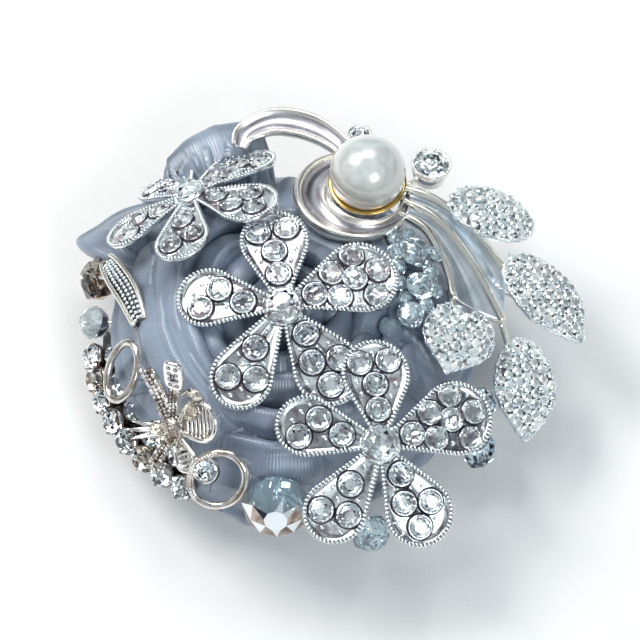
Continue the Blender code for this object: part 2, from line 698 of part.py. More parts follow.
def rhinestone_chain():
    """Cup settings side by side on one strip that follows the rim, each with its own stone."""
    pitch = (CHAIN_TO - CHAIN_FROM) / (CHAIN_STONES - 1)
    frames = []
    for k in range(CHAIN_STONES):
        angle = CHAIN_FROM + pitch * k
        x = CHAIN_RADIUS * math.cos(math.radians(angle))
        y = CHAIN_RADIUS * math.sin(math.radians(angle))
        frames.append(seat(x, y, CHAIN_Z, CHAIN_LEAN, angle))
    route = [frame @ Vector((0, 0, -1.9)) for frame in frames]
    flat = ((-1, 0.35), (1, 0.35), (1, -0.35), (-1, -0.35))
    strip_obj = sweep("rim_chain_strip", route, flat, [1.5] * len(route), silver())
    for k, frame in enumerate(frames):
        wide = CHAIN_STONE_RADIUS + 0.1
        cup = ((0.75 * wide, -1.9), (wide, 0.0), (wide, 0.6), (0.0, 0.6))
        setting = turned(f"rim_cup_{k + 1}", cup, 10, silver(), frame)
        use_boolean(strip_obj, setting, "UNION")
        stone = frame @ Matrix.Translation((0, 0, 0.6 + GAP + 0.55 * CHAIN_STONE_RADIUS))
        cut_stone(f"rim_chain_stone_{k + 1}", 0.95 * CHAIN_STONE_RADIUS, crystal(), stone)


def glass_beads():
    """Faceted beads: two rings of facets either side of a flat-sided girdle."""
    shape = ((0.32, -0.92), (0.86, -0.45), (1.0, 0.0), (0.86, 0.45), (0.32, 0.92))
    for number, (x, y, z, radius, flat, lean, toward) in enumerate(GLASS_BEADS, 1):
        profile = [(r * radius, h * radius * flat) for r, h in shape]
        turned(f"glass_bead_{number}", profile, 10, crystal(), seat(x, y, z, lean, toward), smooth=False)


def main():
    clear_scene()
    clip_top_plate()
    clip_lower_jaw()
    clip_hinge_pin()
    clip_torsion_spring()
    felt_parts()
    satin_rose()
    five_petal_flowers()
    pearl_brooch()
    filigree_orchid()
    rhinestone_chain()
    glass_beads()


main()
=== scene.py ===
"""Looks of the rhinestone hair clip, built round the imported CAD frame.

The places of the castings, stones and beads repeat part.py's driving dimensions, so that each piece
sits on its CAD node.
"""

import json
import math
import random

import bpy
import numpy as np
from mathutils import Matrix, Vector, noise

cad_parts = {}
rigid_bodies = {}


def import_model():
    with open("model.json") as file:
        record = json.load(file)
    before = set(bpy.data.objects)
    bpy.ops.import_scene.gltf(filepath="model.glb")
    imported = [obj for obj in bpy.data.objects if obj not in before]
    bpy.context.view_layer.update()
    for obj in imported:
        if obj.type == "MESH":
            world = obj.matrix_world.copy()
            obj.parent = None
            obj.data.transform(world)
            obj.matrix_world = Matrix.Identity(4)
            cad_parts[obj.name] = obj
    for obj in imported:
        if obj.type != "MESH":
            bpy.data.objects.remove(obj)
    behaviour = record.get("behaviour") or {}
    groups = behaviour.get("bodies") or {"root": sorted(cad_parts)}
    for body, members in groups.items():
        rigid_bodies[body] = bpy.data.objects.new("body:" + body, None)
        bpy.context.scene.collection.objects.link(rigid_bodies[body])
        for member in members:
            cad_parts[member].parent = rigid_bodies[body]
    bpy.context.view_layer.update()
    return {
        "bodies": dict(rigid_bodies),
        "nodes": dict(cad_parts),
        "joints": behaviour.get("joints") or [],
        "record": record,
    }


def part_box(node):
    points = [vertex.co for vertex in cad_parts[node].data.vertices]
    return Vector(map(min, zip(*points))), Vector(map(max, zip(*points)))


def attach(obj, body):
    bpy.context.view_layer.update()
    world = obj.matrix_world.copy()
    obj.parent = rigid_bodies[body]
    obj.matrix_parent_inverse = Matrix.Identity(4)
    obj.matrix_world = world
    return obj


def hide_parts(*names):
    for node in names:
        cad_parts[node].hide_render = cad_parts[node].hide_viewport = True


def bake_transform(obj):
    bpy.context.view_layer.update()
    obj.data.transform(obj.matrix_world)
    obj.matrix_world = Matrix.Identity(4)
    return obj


MM = 0.001
UP = Vector((0, 0, 1))
BODY = "brooch_body"

# Rose.
ROSE_RADIUS, ROSE_RIM_Z, ROSE_TOP_Z = 33.0, 8.0, 26.5
ROLLED_FOLD_RADIUS = 19.5
FOLD_REACH = 31.0  # the dome is too steep for a fold beyond this radius
# Start angle, end angle, reach at each of them, rim height, height beside the rolled fold, lift of the rim.
OUTER_PETALS = (
    (20, 60, 31.0, 31.0, 3.6, 20.0, 0.0),
    (60, 98, 31.0, 31.0, 3.6, 20.0, 0.0),
    (98, 121, 36.8, 35.5, 13.0, 17.0, 4.6),
    (121, 150, 30.0, 37.6, 8.5, 17.0, 1.4),
    (150, 200, 27.0, 26.2, 11.6, 20.0, 1.0),
    (200, 246, 26.2, 26.2, 11.6, 20.0, 0.6),
    (246, 292, 29.6, 29.0, 3.6, 20.0, 0.0),
    (292, 335, 29.6, 29.6, 3.6, 20.0, 0.0),
    (335, 380, 29.8, 30.4, 9.4, 20.0, 0.0),
)

# Five-petal castings: heading, length and rounding radius of each petal.
FLOWER_PETALS = ((0, 16.8, 5.4), (73, 16.7, 4.8), (143, 17.6, 4.9), (208, 17.6, 5.4), (287, 19.0, 5.9))
# Stones of each petal, as distances along it and across it.
PETAL_STONES = (
    ((13.1, 2.4), (13.4, -2.1), (9.6, 0.2), (5.6, 0.0)),
    ((6.2, 0.1), (10.3, -1.5), (12.6, 1.9)),
    ((7.8, -0.4), (13.6, -1.9), (11.9, 2.1)),
    ((5.6, 0.4), (9.8, -1.4), (11.6, 2.4), (14.2, -1.0)),
    ((13.3, 3.9), (16.1, 0.2), (9.2, 2.2), (12.2, 0.1), (14.2, -3.7), (5.4, -0.1), (8.8, -1.9)),
)
# Seat of each casting (x, y, z, lean, direction of the lean, spin), then its scale.
FLOWERS = {
    "top_flower": (0.6, -3.3, 29.6, 8, 262, 97, 1.0),
    "front_flower": (15.5, -24.7, 25.3, 20, 290, 94, 0.97),
    "back_flower": (-14.2, 19.0, 25.3, 37, 124, 125, 0.9),
}
FLOWER_DROOP = 0.008
STONE_RADIUS = 1.75
CENTRE_STONE_RADIUS = 2.4
MILGRAIN_PITCH = 0.64

# Pearl brooch.
PEARL_RADIUS = 6.0
PEARL_SEAT = (13.8, 20.4, 24.2)
GUTTER_SEAT = (11.4, 19.2, 24.5, 13, 61)
GUTTER_SEMI_AXES = (9.3, 9.0)
GUTTER_HOLE = (2.4, 1.1, 5.9)
SCROLL_ROUTE = (
    (-6.8, 29.8, 22.4),
    (-5.6, 32.2, 23.0),
    (-1.6, 33.8, 23.6),
    (2.6, 33.4, 23.8),
    (6.4, 31.8, 23.8),
    (9.4, 29.4, 23.6),
    (11.6, 27.0, 23.2),
)
# Inner, middle and outer rib of the streamer.
STREAMER_RIBS = (
    ((18.6, 17.0, 23.6), (22.8, 14.4, 23.0), (25.2, 10.6, 22.0), (26.6, 7.0, 21.0), (27.2, 3.8, 20.2)),
    ((19.2, 19.4, 23.6), (24.6, 16.4, 22.8), (28.8, 11.6, 21.4), (32.2, 6.2, 19.8), (35.2, 0.2, 18.0)),
    ((18.8, 21.8, 23.4), (24.4, 20.0, 22.6), (29.0, 17.0, 21.4), (32.6, 13.4, 20.0), (36.0, 8.6, 18.6)),
)
LEAF_STEMS = (
    ((24.6, 18.6, 21.2), (29.2, 17.6, 20.0), (33.6, 17.2, 19.3)),
    ((34.0, 7.0, 17.6), (38.0, 5.4, 16.4), (42.0, 4.0, 15.9)),
    ((35.0, 1.0, 16.4), (36.6, -4.0, 14.2), (38.4, -10.0, 12.4)),
    ((27.0, 5.6, 18.8), (27.4, 0.4, 18.9), (27.4, -4.4, 19.3)),
)
BEZEL_STALKS = (
    ((23.8, 25.2, 20.6), (21.4, 23.6, 21.8), (18.4, 21.6, 23.0)),
    ((12.6, 30.4, 22.8), (12.2, 28.8, 23.0), (11.6, 27.0, 23.2)),
)
# Seat of each single stone's bezel, then its radius.
BEZELS = {"round": (24.0, 25.4, 22.6, 10, 60, 3.2), "small": (12.6, 30.6, 24.0, 14, 90, 1.9)}

# Leaves: seat, length, width, how far the tip narrows, depth of the notch at the stem.
PAVE_LEAVES = (
    (33.6, 17.2, 23.1, 12, 60, -28, 14.5, 9.6, 0.1, 0.0),
    (42.2, 4.0, 19.6, 16, 20, -52, 18.0, 10.4, 0.5, 0.0),
    (38.6, -10.2, 15.4, 22, 340, -88, 17.0, 10.4, 0.7, 0.0),
    (27.8, -4.9, 22.4, 12, 330, -108, 12.8, 11.6, 0.85, 0.16),
)
LEAF_DROOP = 0.012
PAVE_STONE_RADIUS = 0.84

# Filigree orchid: heading and reach of each arm, then the rounding radius of a fan or the width of a column.
ORCHID_SEAT = (-16.6, -20.8, 21.8, 42, 232)
ORCHID_FANS = ((12, 9.4, 3.1), (300, 6.8, 1.6))
ORCHID_PAD = (70, 12.0)
ORCHID_COLUMNS = ((98, 10.2, 1.15), (236, 6.2, 0.95))
ORCHID_SPIKES = ((160, 6.2), (172, 7.2), (185, 6.4))
ORCHID_CUP = 0.03
# Heading and reach of each crystal drop, then its size along, across and upwards.
ORCHID_DROPS = ((40, 6.2, (3.2, 2.3, 1.2)), (150, 0.9, (1.9, 1.5, 1.3)), (320, 1.6, (1.8, 1.3, 1.2)))
# Open rings: seat, then semi-axes.
ORCHID_RING = (-24.4, -9.9, 20.6, 44, 202, 60, 4.6, 3.0)
STONE_LOOP = (-9.2, -28.8, 21.6, 50, 250, 40, 4.8, 4.0)
LOOP_STONE_RADIUS = 1.75
FILIGREE_BAR = ((-27.8, 11.2, 18.2), (-26.0, 7.6, 19.8), (-23.8, 3.2, 21.4), (-21.8, -2.2, 22.4))
FILIGREE_UP = Vector((-0.62, 0.1, 0.78)).normalized()
FILIGREE_WIDTH = 1.8

# Rhinestone chain.
CHAIN_RADIUS, CHAIN_FROM, CHAIN_TO, CHAIN_STONES = 29.4, 186, 240, 8
CHAIN_Z, CHAIN_LEAN = 12.0, 62
CHAIN_STONE_RADIUS = 2.1
# The second row above it: its radius, height and lean, then the angle and radius of each stone.
INNER_ROW = (26.8, 15.0, 46)
INNER_STONES = ((189, 1.5), (200, 1.9), (211, 1.7), (222, 2.0), (234, 1.8), (245, 1.6))

# Glass beads: x, y, z, radius, flattening, lean and its direction.
GLASS_BEADS = (
    (-29.0, 10.4, 13.6, 3.9, 0.86, 60, 160),
    (-29.8, 3.2, 12.0, 2.8, 0.9, 60, 180),
    (-0.3, -31.6, 17.8, 5.4, 0.8, 60, 268),
    (14.2, -31.9, 8.6, 3.3, 0.9, 60, 290),
    (31.8, -10.6, 10.5, 2.8, 0.9, 50, 340),
    (31.2, -17.4, 8.6, 3.3, 0.9, 50, 330),
    (21.2, 8.9, 24.6, 2.8, 0.9, 30, 30),
    (21.9, 3.2, 24.2, 2.5, 0.9, 30, 10),
    (20.4, -2.2, 24.9, 2.3, 0.9, 20, 350),
)
BEAD_LOOKS = ("smoky", "clear", "blue_painted_reflection", "ice", "blue", "blue", "ice", "ice", "ice")
RIM_BEADS = 6  # the first of them stand at the rim, on wires
# Small beads that fill the cluster beside the top casting: x, y, z, radius, lean and its direction.
CLUSTER_BEADS = (
    (18.2, 11.6, 24.6, 1.5, 30, 40),
    (20.2, 12.4, 24.0, 1.4, 30, 40),
    (24.4, 9.6, 22.9, 1.4, 40, 20),
    (18.0, 8.8, 25.2, 1.4, 10, 60),
    (18.6, 3.2, 25.2, 1.5, 10, 20),
    (24.4, 3.0, 22.9, 1.3, 40, 10),
    (19.4, 0.4, 25.3, 1.3, 15, 340),
    (23.6, 6.2, 23.2, 1.5, 40, 20),
    (18.4, 6.2, 25.0, 1.5, 10, 20),
    (22.8, 0.2, 23.4, 1.4, 40, 0),
    (17.4, 0.6, 24.6, 1.5, 10, 330),
    (17.0, -4.0, 24.2, 1.6, 20, 300),
)

# Clip.
HINGE = (-14.0, 0.0, 5.0)

# Camera.
CAMERA_TARGET = Vector((6.3, 0.5, 18.0))
CAMERA_ELEVATION = 62.0
CAMERA_DISTANCE = 450.0
CAMERA_WIDTH = 101.0  # what the frame spans at the target
SENSOR_WIDTH = 36.0


# ---------------------------------------------------------------- placing and meshing
def turned(degrees, axis="Z"):
    return Matrix.Rotation(math.radians(degrees), 4, axis)


def shifted(x, y, z):
    return Matrix.Translation((x, y, z))


def scaled(matrix, size, squeeze=1.0):
    return matrix @ Matrix.Diagonal((size, size, size * squeeze, 1.0))


def seat(x, y, z, lean, toward, spin=0.0):
    """A frame at a point, its Z axis leaning from vertical towards a compass direction, turned by spin."""
    return shifted(x, y, z) @ turned(toward) @ turned(lean, "Y") @ turned(spin - toward)


def oval(semi_axes, angle, z=0.0):
    """The point of an ellipse at an angle in radians."""
    return (semi_axes[0] * math.cos(angle), semi_axes[1] * math.sin(angle), z)


def polar(radius, angle, z=0.0):
    return oval((radius, radius), angle, z)


def round_turn(count, offset=0.0):
    """Angles in radians, evenly spaced round a circle."""
    return [2 * math.pi * (k + offset) / count for k in range(count)]


def dome_z(radius):
    """Height of the rose at a distance from its middle."""
    return ROSE_RIM_Z + (ROSE_TOP_Z - ROSE_RIM_Z) * math.sqrt(max(0.0, 1 - (radius / ROSE_RADIUS) ** 2))


def smooth_route(points, steps):
    """Points on a Catmull-Rom curve through the given ones."""
    known = [Vector(p) for p in points]
    ends = [2 * known[0] - known[1], *known, 2 * known[-1] - known[-2]]
    route = []
    for a, b, c, d in zip(ends, ends[1:], ends[2:], ends[3:]):
        for step in range(steps):
            t = step / steps
            bend = (2 * a - 5 * b + 4 * c - d) * t**2 + (3 * b - a - 3 * c + d) * t**3
            route.append(0.5 * (2 * b + (c - a) * t + bend))
    return [*route, known[-1]]


def direction(route, i):
    """Unit vector along an open route at its point i."""
    return (route[min(i + 1, len(route) - 1)] - route[max(i - 1, 0)]).normalized()


class Shape:
    """Vertices and faces gathered from several solids, to become one mesh object."""

    def __init__(self):
        self.vertices, self.faces, self.slots = [], [], []

    def add(self, vertices, faces, slots=0, matrix=None):
        """Adds a solid; slots is one material slot for all its faces, or a list with one for each."""
        start = len(self.vertices)
        if matrix is not None:
            rows = np.asarray(vertices, float)
            vertices = (rows @ np.array(matrix.to_3x3()).T + np.array(matrix.translation)).tolist()
        self.vertices += [tuple(v) for v in vertices]
        self.faces += [tuple(start + i for i in face) for face in faces]
        self.slots += [slots] * len(faces) if isinstance(slots, int) else slots
        return self

    def add_grain(self, place, size, slots=0):
        """Adds a small round bead; size is its radius, or its three semi-axes."""
        sizes = (size, size, size) if isinstance(size, float) else size
        return self.add(*GRAIN, slots, place @ Matrix.Diagonal((*sizes, 1.0)))

    def build(self, name, materials, smooth=True, node=None, slot=None, body=BODY, uv=None):
        mesh = bpy.data.meshes.new(name)
        mesh.from_pydata([tuple(c * MM for c in v) for v in self.vertices], [], self.faces)
        for material in materials:
            mesh.materials.append(material)
        mesh.polygons.foreach_set("material_index", self.slots)
        if uv is not None:
            layer = mesh.uv_layers.new(name="fold")
            corners = np.zeros(len(mesh.loops), np.int32)
            mesh.loops.foreach_get("vertex_index", corners)
            layer.data.foreach_set("uv", np.asarray(uv, np.float32)[corners].ravel())
        if smooth:
            mesh.shade_smooth()
        mesh.update()
        obj = bpy.data.objects.new(name, mesh)
        bpy.context.scene.collection.objects.link(obj)
        if body:
            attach(obj, body)
        if node:
            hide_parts(node)
        return obj


def slots_between(faces, first, last):
    """Slot 1 for the faces from first up to last, slot 0 for the others."""
    return [1 if first <= k < last else 0 for k in range(len(faces))]


def slots_by_side(faces, size, sides, slot=1):
    """A slot for the faces on some sides of a section with size points, and slot 0 for all the others."""
    return [slot if len(face) == 4 and k % size in sides else 0 for k, face in enumerate(faces)]


def loft(rings, closed=False):
    """(vertices, faces) between rings that each have the same number of points."""
    size, count = len(rings[0]), len(rings)
    vertices = [v for ring in rings for v in ring]
    faces = []
    for i in range(count if closed else count - 1):
        near, far = i * size, (i + 1) % count * size
        for j in range(size):
            k = (j + 1) % size
            faces.append((near + j, near + k, far + k, far + j))
    if not closed:
        faces.append(tuple(reversed(range(size))))
        faces.append(tuple((count - 1) * size + j for j in range(size)))
    return vertices, faces


def bar(route, section, widths, up=UP, closed=False, heights=None):
    """(vertices, faces) of a bar along a route; its section holds (across, up) pairs."""
    rings = []
    for i, point in enumerate(route):
        before = route[i - 1] if closed or i else point
        after = route[(i + 1) % len(route)] if closed or i + 1 < len(route) else point
        along = (after - before).normalized()
        across = along.cross(up).normalized()
        lift = across.cross(along) * (heights[i] if heights else 1.0)
        rings.append([point + across * s * widths[i] + lift * u for s, u in section])
    return loft(rings, closed)


def tube(route, radius, up=UP, closed=False, steps=8, taper=None):
    """(vertices, faces) of a round bar; taper holds its share of the radius at each point."""
    section = [(math.cos(-angle), radius * math.sin(-angle)) for angle in round_turn(steps)]
    widths = [radius * share for share in taper or [1.0] * len(route)]
    return bar(route, section, widths, up, closed, taper)


def revolve(profile, segments):
    """(vertices, faces) turned about Z from (radius, z) pairs, bottom to top; radius 0 closes an end."""
    vertices, faces, rings = [], [], []
    for radius, z in profile:
        angles = round_turn(segments) if radius else [0.0]
        rings.append([len(vertices) + k for k in range(len(angles))])
        vertices += [polar(radius, angle, z) for angle in angles]
    for low, high in zip(rings, rings[1:]):
        for k in range(segments):
            n = (k + 1) % segments
            if len(low) == 1:
                faces.append((low[0], high[n], high[k]))
            elif len(high) == 1:
                faces.append((low[k], low[n], high[0]))
            else:
                faces.append((low[k], low[n], high[n], high[k]))
    return vertices, faces


def hoop(profile, segments):
    """(vertices, faces) of a closed ring: a closed (radius, z) outline turned about Z."""
    vertices = [polar(radius, angle, z) for angle in round_turn(segments) for radius, z in profile]
    faces = []
    size = len(profile)
    for k in range(segments):
        near, far = k * size, (k + 1) % segments * size
        for j in range(size):
            i = (j + 1) % size
            faces.append((near + j, far + j, far + i, near + i))
    return vertices, faces


def half_round(radius, rows):
    """(radius, z) pairs down the side of a ball, from its bottom to its top."""
    steps = [math.pi * k / rows for k in range(1, rows)]
    side = [(radius * math.sin(turn), -radius * math.cos(turn)) for turn in steps]
    return [(0.0, -radius), *side, (0.0, radius)]


def brilliant():
    """A round cut stone of girdle radius 1 with its girdle at z = 0: (vertices, faces, material slots).
    Slot 0 is the clear crown, slot 1 the foiled pavilion."""
    sides = 8
    girdle = 2 * sides
    vertices = [polar(0.55, angle, 0.44) for angle in round_turn(sides)]
    vertices += [polar(0.80, angle, 0.26) for angle in round_turn(sides, 0.5)]
    for z in (0.05, -0.05):
        vertices += [polar(1.0, angle, z) for angle in round_turn(girdle)]
    vertices += [polar(0.52, angle, -0.42) for angle in round_turn(sides, 0.5)]
    vertices.append((0, 0, -0.80))
    star, top, low, belly = sides, 2 * sides, 4 * sides, 6 * sides
    faces = [tuple(range(sides))]
    for k in range(sides):
        n, p = (k + 1) % sides, (k - 1) % sides
        mid, right = top + 2 * k + 1, top + (2 * k + 2) % girdle
        faces += [(n, star + k, k), (k, star + p, top + 2 * k, star + k)]
        faces += [(star + k, top + 2 * k, mid), (star + k, mid, right)]
    for k in range(girdle):
        n = (k + 1) % girdle
        faces.append((top + k, low + k, low + n, top + n))
    crown = len(faces)
    for k in range(sides):
        p = (k - 1) % sides
        mid, right = low + 2 * k + 1, low + (2 * k + 2) % girdle
        faces += [(belly + k, mid, low + 2 * k), (belly + k, right, mid)]
        faces += [(belly + k, low + 2 * k, belly + p), (belly + k, belly + p, belly + sides)]
    return vertices, faces, slots_between(faces, crown, len(faces))


GRAIN = revolve(half_round(1.0, 4), 7)
BRILLIANT = brilliant()


# ---------------------------------------------------------------- materials
# Millimetres between the satin's ribs and between the threads across them.
RIB_PITCH, WEAVE_PITCH = 0.46, 0.17


def new_material(name):
    """A material with its nodes, its links and its Principled shader."""
    material = bpy.data.materials.new(name)
    material.use_nodes = True
    tree = material.node_tree
    return material, tree.nodes, tree.links, tree.nodes["Principled BSDF"]


def set_inputs(node, **inputs):
    """Sets a node's sockets; an underscore stands for a space in a socket's name."""
    for key, value in inputs.items():
        node.inputs[key.replace("_", " ")].default_value = value


def add_node(nodes, kind, **inputs):
    node = nodes.new(kind)
    set_inputs(node, **inputs)
    return node


def add_ramp(nodes, low, high, start=0.0, end=1.0):
    """A colour ramp from one colour to another."""
    ramp = nodes.new("ShaderNodeValToRGB")
    for element, place, colour in zip(ramp.color_ramp.elements, (start, end), (low, high)):
        element.position = place
        element.color = (*colour, 1)
    return ramp


def noise_bump(nodes, links, shader, scale, distance, strength=1.0):
    """Small surface unevenness in object space."""
    place = nodes.new("ShaderNodeTexCoord")
    grain = add_node(nodes, "ShaderNodeTexNoise", Scale=scale, Detail=4.0)
    bump = add_node(nodes, "ShaderNodeBump", Strength=strength, Distance=distance)
    links.new(place.outputs["Object"], grain.inputs["Vector"])
    links.new(grain.outputs["Fac"], bump.inputs["Height"])
    links.new(bump.outputs["Normal"], shader.inputs["Normal"])
    return grain


def colour_by(nodes, links, shader, factor, low, high, start=0.35, end=0.65):
    """Base colour from low to high, as a factor goes from start to end."""
    ramp = add_ramp(nodes, low, high, start, end)
    links.new(factor, ramp.inputs["Fac"])
    links.new(ramp.outputs["Color"], shader.inputs["Base Color"])


def metal(name, low, high, roughness, bump_scale=900.0, bump=0.00004, spread=(0.35, 0.65)):
    """Metal whose colour drifts between two tones and whose surface is slightly uneven."""
    material, nodes, links, shader = new_material(name)
    set_inputs(shader, Metallic=1.0, Roughness=roughness)
    grain = noise_bump(nodes, links, shader, bump_scale, bump)
    colour_by(nodes, links, shader, grain.outputs["Fac"], low, high, *spread)
    return material


def satin_material(name, tint=1.0):
    """Lavender-grey satin: fine ribs across the fold, a soft sheen and shifting colour."""
    material, nodes, links, shader = new_material(name)
    place = nodes.new("ShaderNodeTexCoord")
    split = nodes.new("ShaderNodeSeparateXYZ")
    links.new(place.outputs["UV"], split.inputs["Vector"])
    waves = []
    for axis, pitch in (("X", RIB_PITCH), ("Y", WEAVE_PITCH)):
        turn, wave = nodes.new("ShaderNodeMath"), nodes.new("ShaderNodeMath")
        turn.operation, wave.operation = "MULTIPLY", "SINE"
        turn.inputs[1].default_value = 2 * math.pi / pitch
        links.new(split.outputs[axis], turn.inputs[0])
        links.new(turn.outputs[0], wave.inputs[0])
        waves.append(wave)
    rumple = add_node(nodes, "ShaderNodeTexNoise", Scale=110.0, Detail=2.0)
    links.new(place.outputs["Object"], rumple.inputs["Vector"])
    ribs = add_node(nodes, "ShaderNodeBump", Strength=0.40, Distance=0.00004)
    weave = add_node(nodes, "ShaderNodeBump", Strength=0.10, Distance=0.00002)
    soft = add_node(nodes, "ShaderNodeBump", Strength=0.35, Distance=0.0008)
    links.new(waves[0].outputs[0], ribs.inputs["Height"])
    links.new(waves[1].outputs[0], weave.inputs["Height"])
    links.new(rumple.outputs["Fac"], soft.inputs["Height"])
    links.new(soft.outputs["Normal"], ribs.inputs["Normal"])
    links.new(ribs.outputs["Normal"], weave.inputs["Normal"])
    links.new(weave.outputs["Normal"], shader.inputs["Normal"])
    low = tuple(c * tint for c in (0.155, 0.190, 0.255))
    high = tuple(c * tint for c in (0.285, 0.350, 0.450))
    colour_by(nodes, links, shader, rumple.outputs["Fac"], low, high, 0.34, 0.62)
    set_inputs(
        shader,
        Roughness=0.30, Specular_IOR_Level=0.95, Sheen_Weight=0.35, Sheen_Roughness=0.4,
        Sheen_Tint=(0.80, 0.86, 1.0, 1.0),
    )
    return material


def felt_material():
    """Grey felt with a coarse, matt, slightly fuzzy surface."""
    material, nodes, links, shader = new_material("felt")
    grain = noise_bump(nodes, links, shader, 2600.0, 0.0002, 0.8)
    colour_by(nodes, links, shader, grain.outputs["Fac"], (0.36, 0.37, 0.43), (0.52, 0.53, 0.60))
    set_inputs(shader, Roughness=0.95, Sheen_Weight=0.5)
    return material


def glass(name, colour, ior=1.55, roughness=0.0, flaw=0.00001, clarity=1.0):
    """Cut glass; a clarity under 1 gives a milky body."""
    material, nodes, links, shader = new_material(name)
    grain = noise_bump(nodes, links, shader, 500.0, flaw, 0.4)
    pale = tuple(min(1.0, c * 1.03) for c in colour)
    colour_by(nodes, links, shader, grain.outputs["Fac"], colour, pale)
    set_inputs(shader, Transmission_Weight=clarity, Roughness=roughness, IOR=ior)
    return material


def pearl_material():
    """Nacre, clouded with pink, under a clear coat; painted shade runs its colour from a beige underside to a
    brighter top.
    """
    material, nodes, links, shader = new_material("pearl coat")
    clouds = noise_bump(nodes, links, shader, 350.0, 0.00003, 0.5)
    place = nodes.new("ShaderNodeTexCoord")
    split = nodes.new("ShaderNodeSeparateXYZ")
    links.new(place.outputs["Object"], split.inputs["Vector"])
    bottom = PEARL_SEAT[2] * MM
    rise = add_node(nodes, "ShaderNodeMapRange", From_Min=bottom, From_Max=bottom + 2 * PEARL_RADIUS * MM)
    links.new(split.outputs["Z"], rise.inputs["Value"])
    # Painted shade: beige and darker at the bottom of the pearl, brighter towards the top.
    shade = add_ramp(nodes, (0.48, 0.40, 0.29), (0.74, 0.80, 0.80))
    middle = shade.color_ramp.elements.new(0.5)
    middle.color = (0.64, 0.61, 0.54, 1)
    links.new(rise.outputs["Result"], shade.inputs["Fac"])
    blush = add_node(nodes, "ShaderNodeMix", Factor=0.5)
    blush.data_type, blush.blend_type = "RGBA", "MULTIPLY"
    tint = add_ramp(nodes, (1.0, 0.90, 0.90), (0.94, 1.0, 1.0))
    links.new(clouds.outputs["Fac"], tint.inputs["Fac"])
    links.new(shade.outputs["Color"], blush.inputs["A"])
    links.new(tint.outputs["Color"], blush.inputs["B"])
    links.new(blush.outputs["Result"], shader.inputs["Base Color"])
    set_inputs(
        shader,
        Metallic=0.25, Roughness=0.22, Specular_IOR_Level=0.8, Coat_Weight=0.8,
        Coat_Roughness=0.08,
    )
    return material


def pave_stone_material():
    """Small foiled stones: a pale body and hard bright facets."""
    material, nodes, links, shader = new_material("pave stone")
    grain = noise_bump(nodes, links, shader, 700.0, 0.00001, 0.3)
    colour_by(nodes, links, shader, grain.outputs["Fac"], (0.58, 0.69, 0.73), (0.97, 1.0, 1.0), 0.40, 0.54)
    set_inputs(shader, Metallic=0.6, Roughness=0.07, Coat_Weight=1.0, Coat_Roughness=0.03)
    return material


SILVER = metal("silver plate", (0.80, 0.85, 0.88), (0.93, 0.97, 0.98), 0.13)
BRIGHT_SILVER = metal("bright silver", (0.92, 0.90, 0.88), (0.98, 0.97, 0.95), 0.09, 300.0, 0.00002)
DISH_SILVER = metal(
    "dished silver", (0.42, 0.37, 0.40), (0.92, 0.97, 0.99), 0.2, 420.0, 0.00003, (0.36, 0.52)
)
CREAM_SILVER = metal("cream silver", (0.96, 0.92, 0.83), (1.0, 0.98, 0.93), 0.27, 400.0, 0.00002)
# Lavender-grey silver for the scroll's channel and the gutter's floor, darker than the rims as painted shade
# in these hollows.
SHADED_CHANNEL_SILVER = metal("channel silver in painted shade", (0.48, 0.46, 0.50), (0.72, 0.72, 0.78), 0.28, 300.0, 0.00003)
STREAMER_SILVER = metal("streamer silver", (0.60, 0.68, 0.76), (0.84, 0.92, 0.98), 0.30, 300.0, 0.00003)
# Dark metal: painted shade in the grooves round the casting stones and in the gaps between the flower rims'
# beads; it is also the dark rings of the orchid's dots and the dark bed of the railed bar.
GAP_SHADE_DARK_METAL = metal("dark metal with painted gap shade", (0.05, 0.05, 0.07), (0.12, 0.11, 0.13), 0.5)
BROWN_FOIL = metal("smoky foil", (0.50, 0.33, 0.23), (0.96, 0.91, 0.82), 0.06, 380.0, 0.0)
# Dark silver for the leaves' bed under the pavé stones: painted shade in the gaps between them.
PAVE_BED_PAINTED_SHADE = metal("pave bed in painted shade", (0.30, 0.27, 0.27), (0.58, 0.56, 0.55), 0.35, 700.0, 0.00004)
RING_SILVER = metal("ring silver", (0.60, 0.50, 0.44), (0.93, 0.90, 0.86), 0.16, 500.0, 0.00006)
WARM_SILVER = metal("worn silver", (0.34, 0.26, 0.22), (0.80, 0.76, 0.74), 0.22, 700.0, 0.0001)
GILT = metal("gilt cup", (0.83, 0.56, 0.16), (0.93, 0.70, 0.30), 0.2)
FOIL = metal("stone foil", (0.88, 0.93, 0.98), (0.95, 0.98, 1.0), 0.02, 300.0, 0.0)
NICKEL = metal("nickel steel", (0.50, 0.50, 0.52), (0.68, 0.68, 0.70), 0.3, 1500.0, 0.00003)
SATIN = satin_material("satin")
# A darker copy of the satin: painted shade on the core dome seen in the gaps between the folds.
SATIN_SHADE = satin_material("satin in painted shade", 0.75)
FELT = felt_material()
THREAD = satin_material("thread", 1.25)
CRYSTAL = glass("cut crystal", (0.95, 0.98, 1.0))
BEAD_GLASS = glass("bead glass", (0.80, 0.91, 0.98), 1.52)
CLEAR_GLASS = glass("clear crystal", (0.90, 0.97, 1.0), 1.5, clarity=0.7)
ICE_GLASS = glass("ice crystal", (0.80, 0.93, 0.98), 1.5, clarity=0.86)
GOLDEN_GLASS = glass("golden crystal", (0.93, 0.89, 0.80), 1.5)
SMOKY_GLASS = glass("smoky crystal", (0.86, 0.84, 0.84), 1.55)
PEARL = pearl_material()
BLUE_GLASS = glass("blue crystal", (0.62, 0.82, 0.94), 1.5, clarity=0.78)
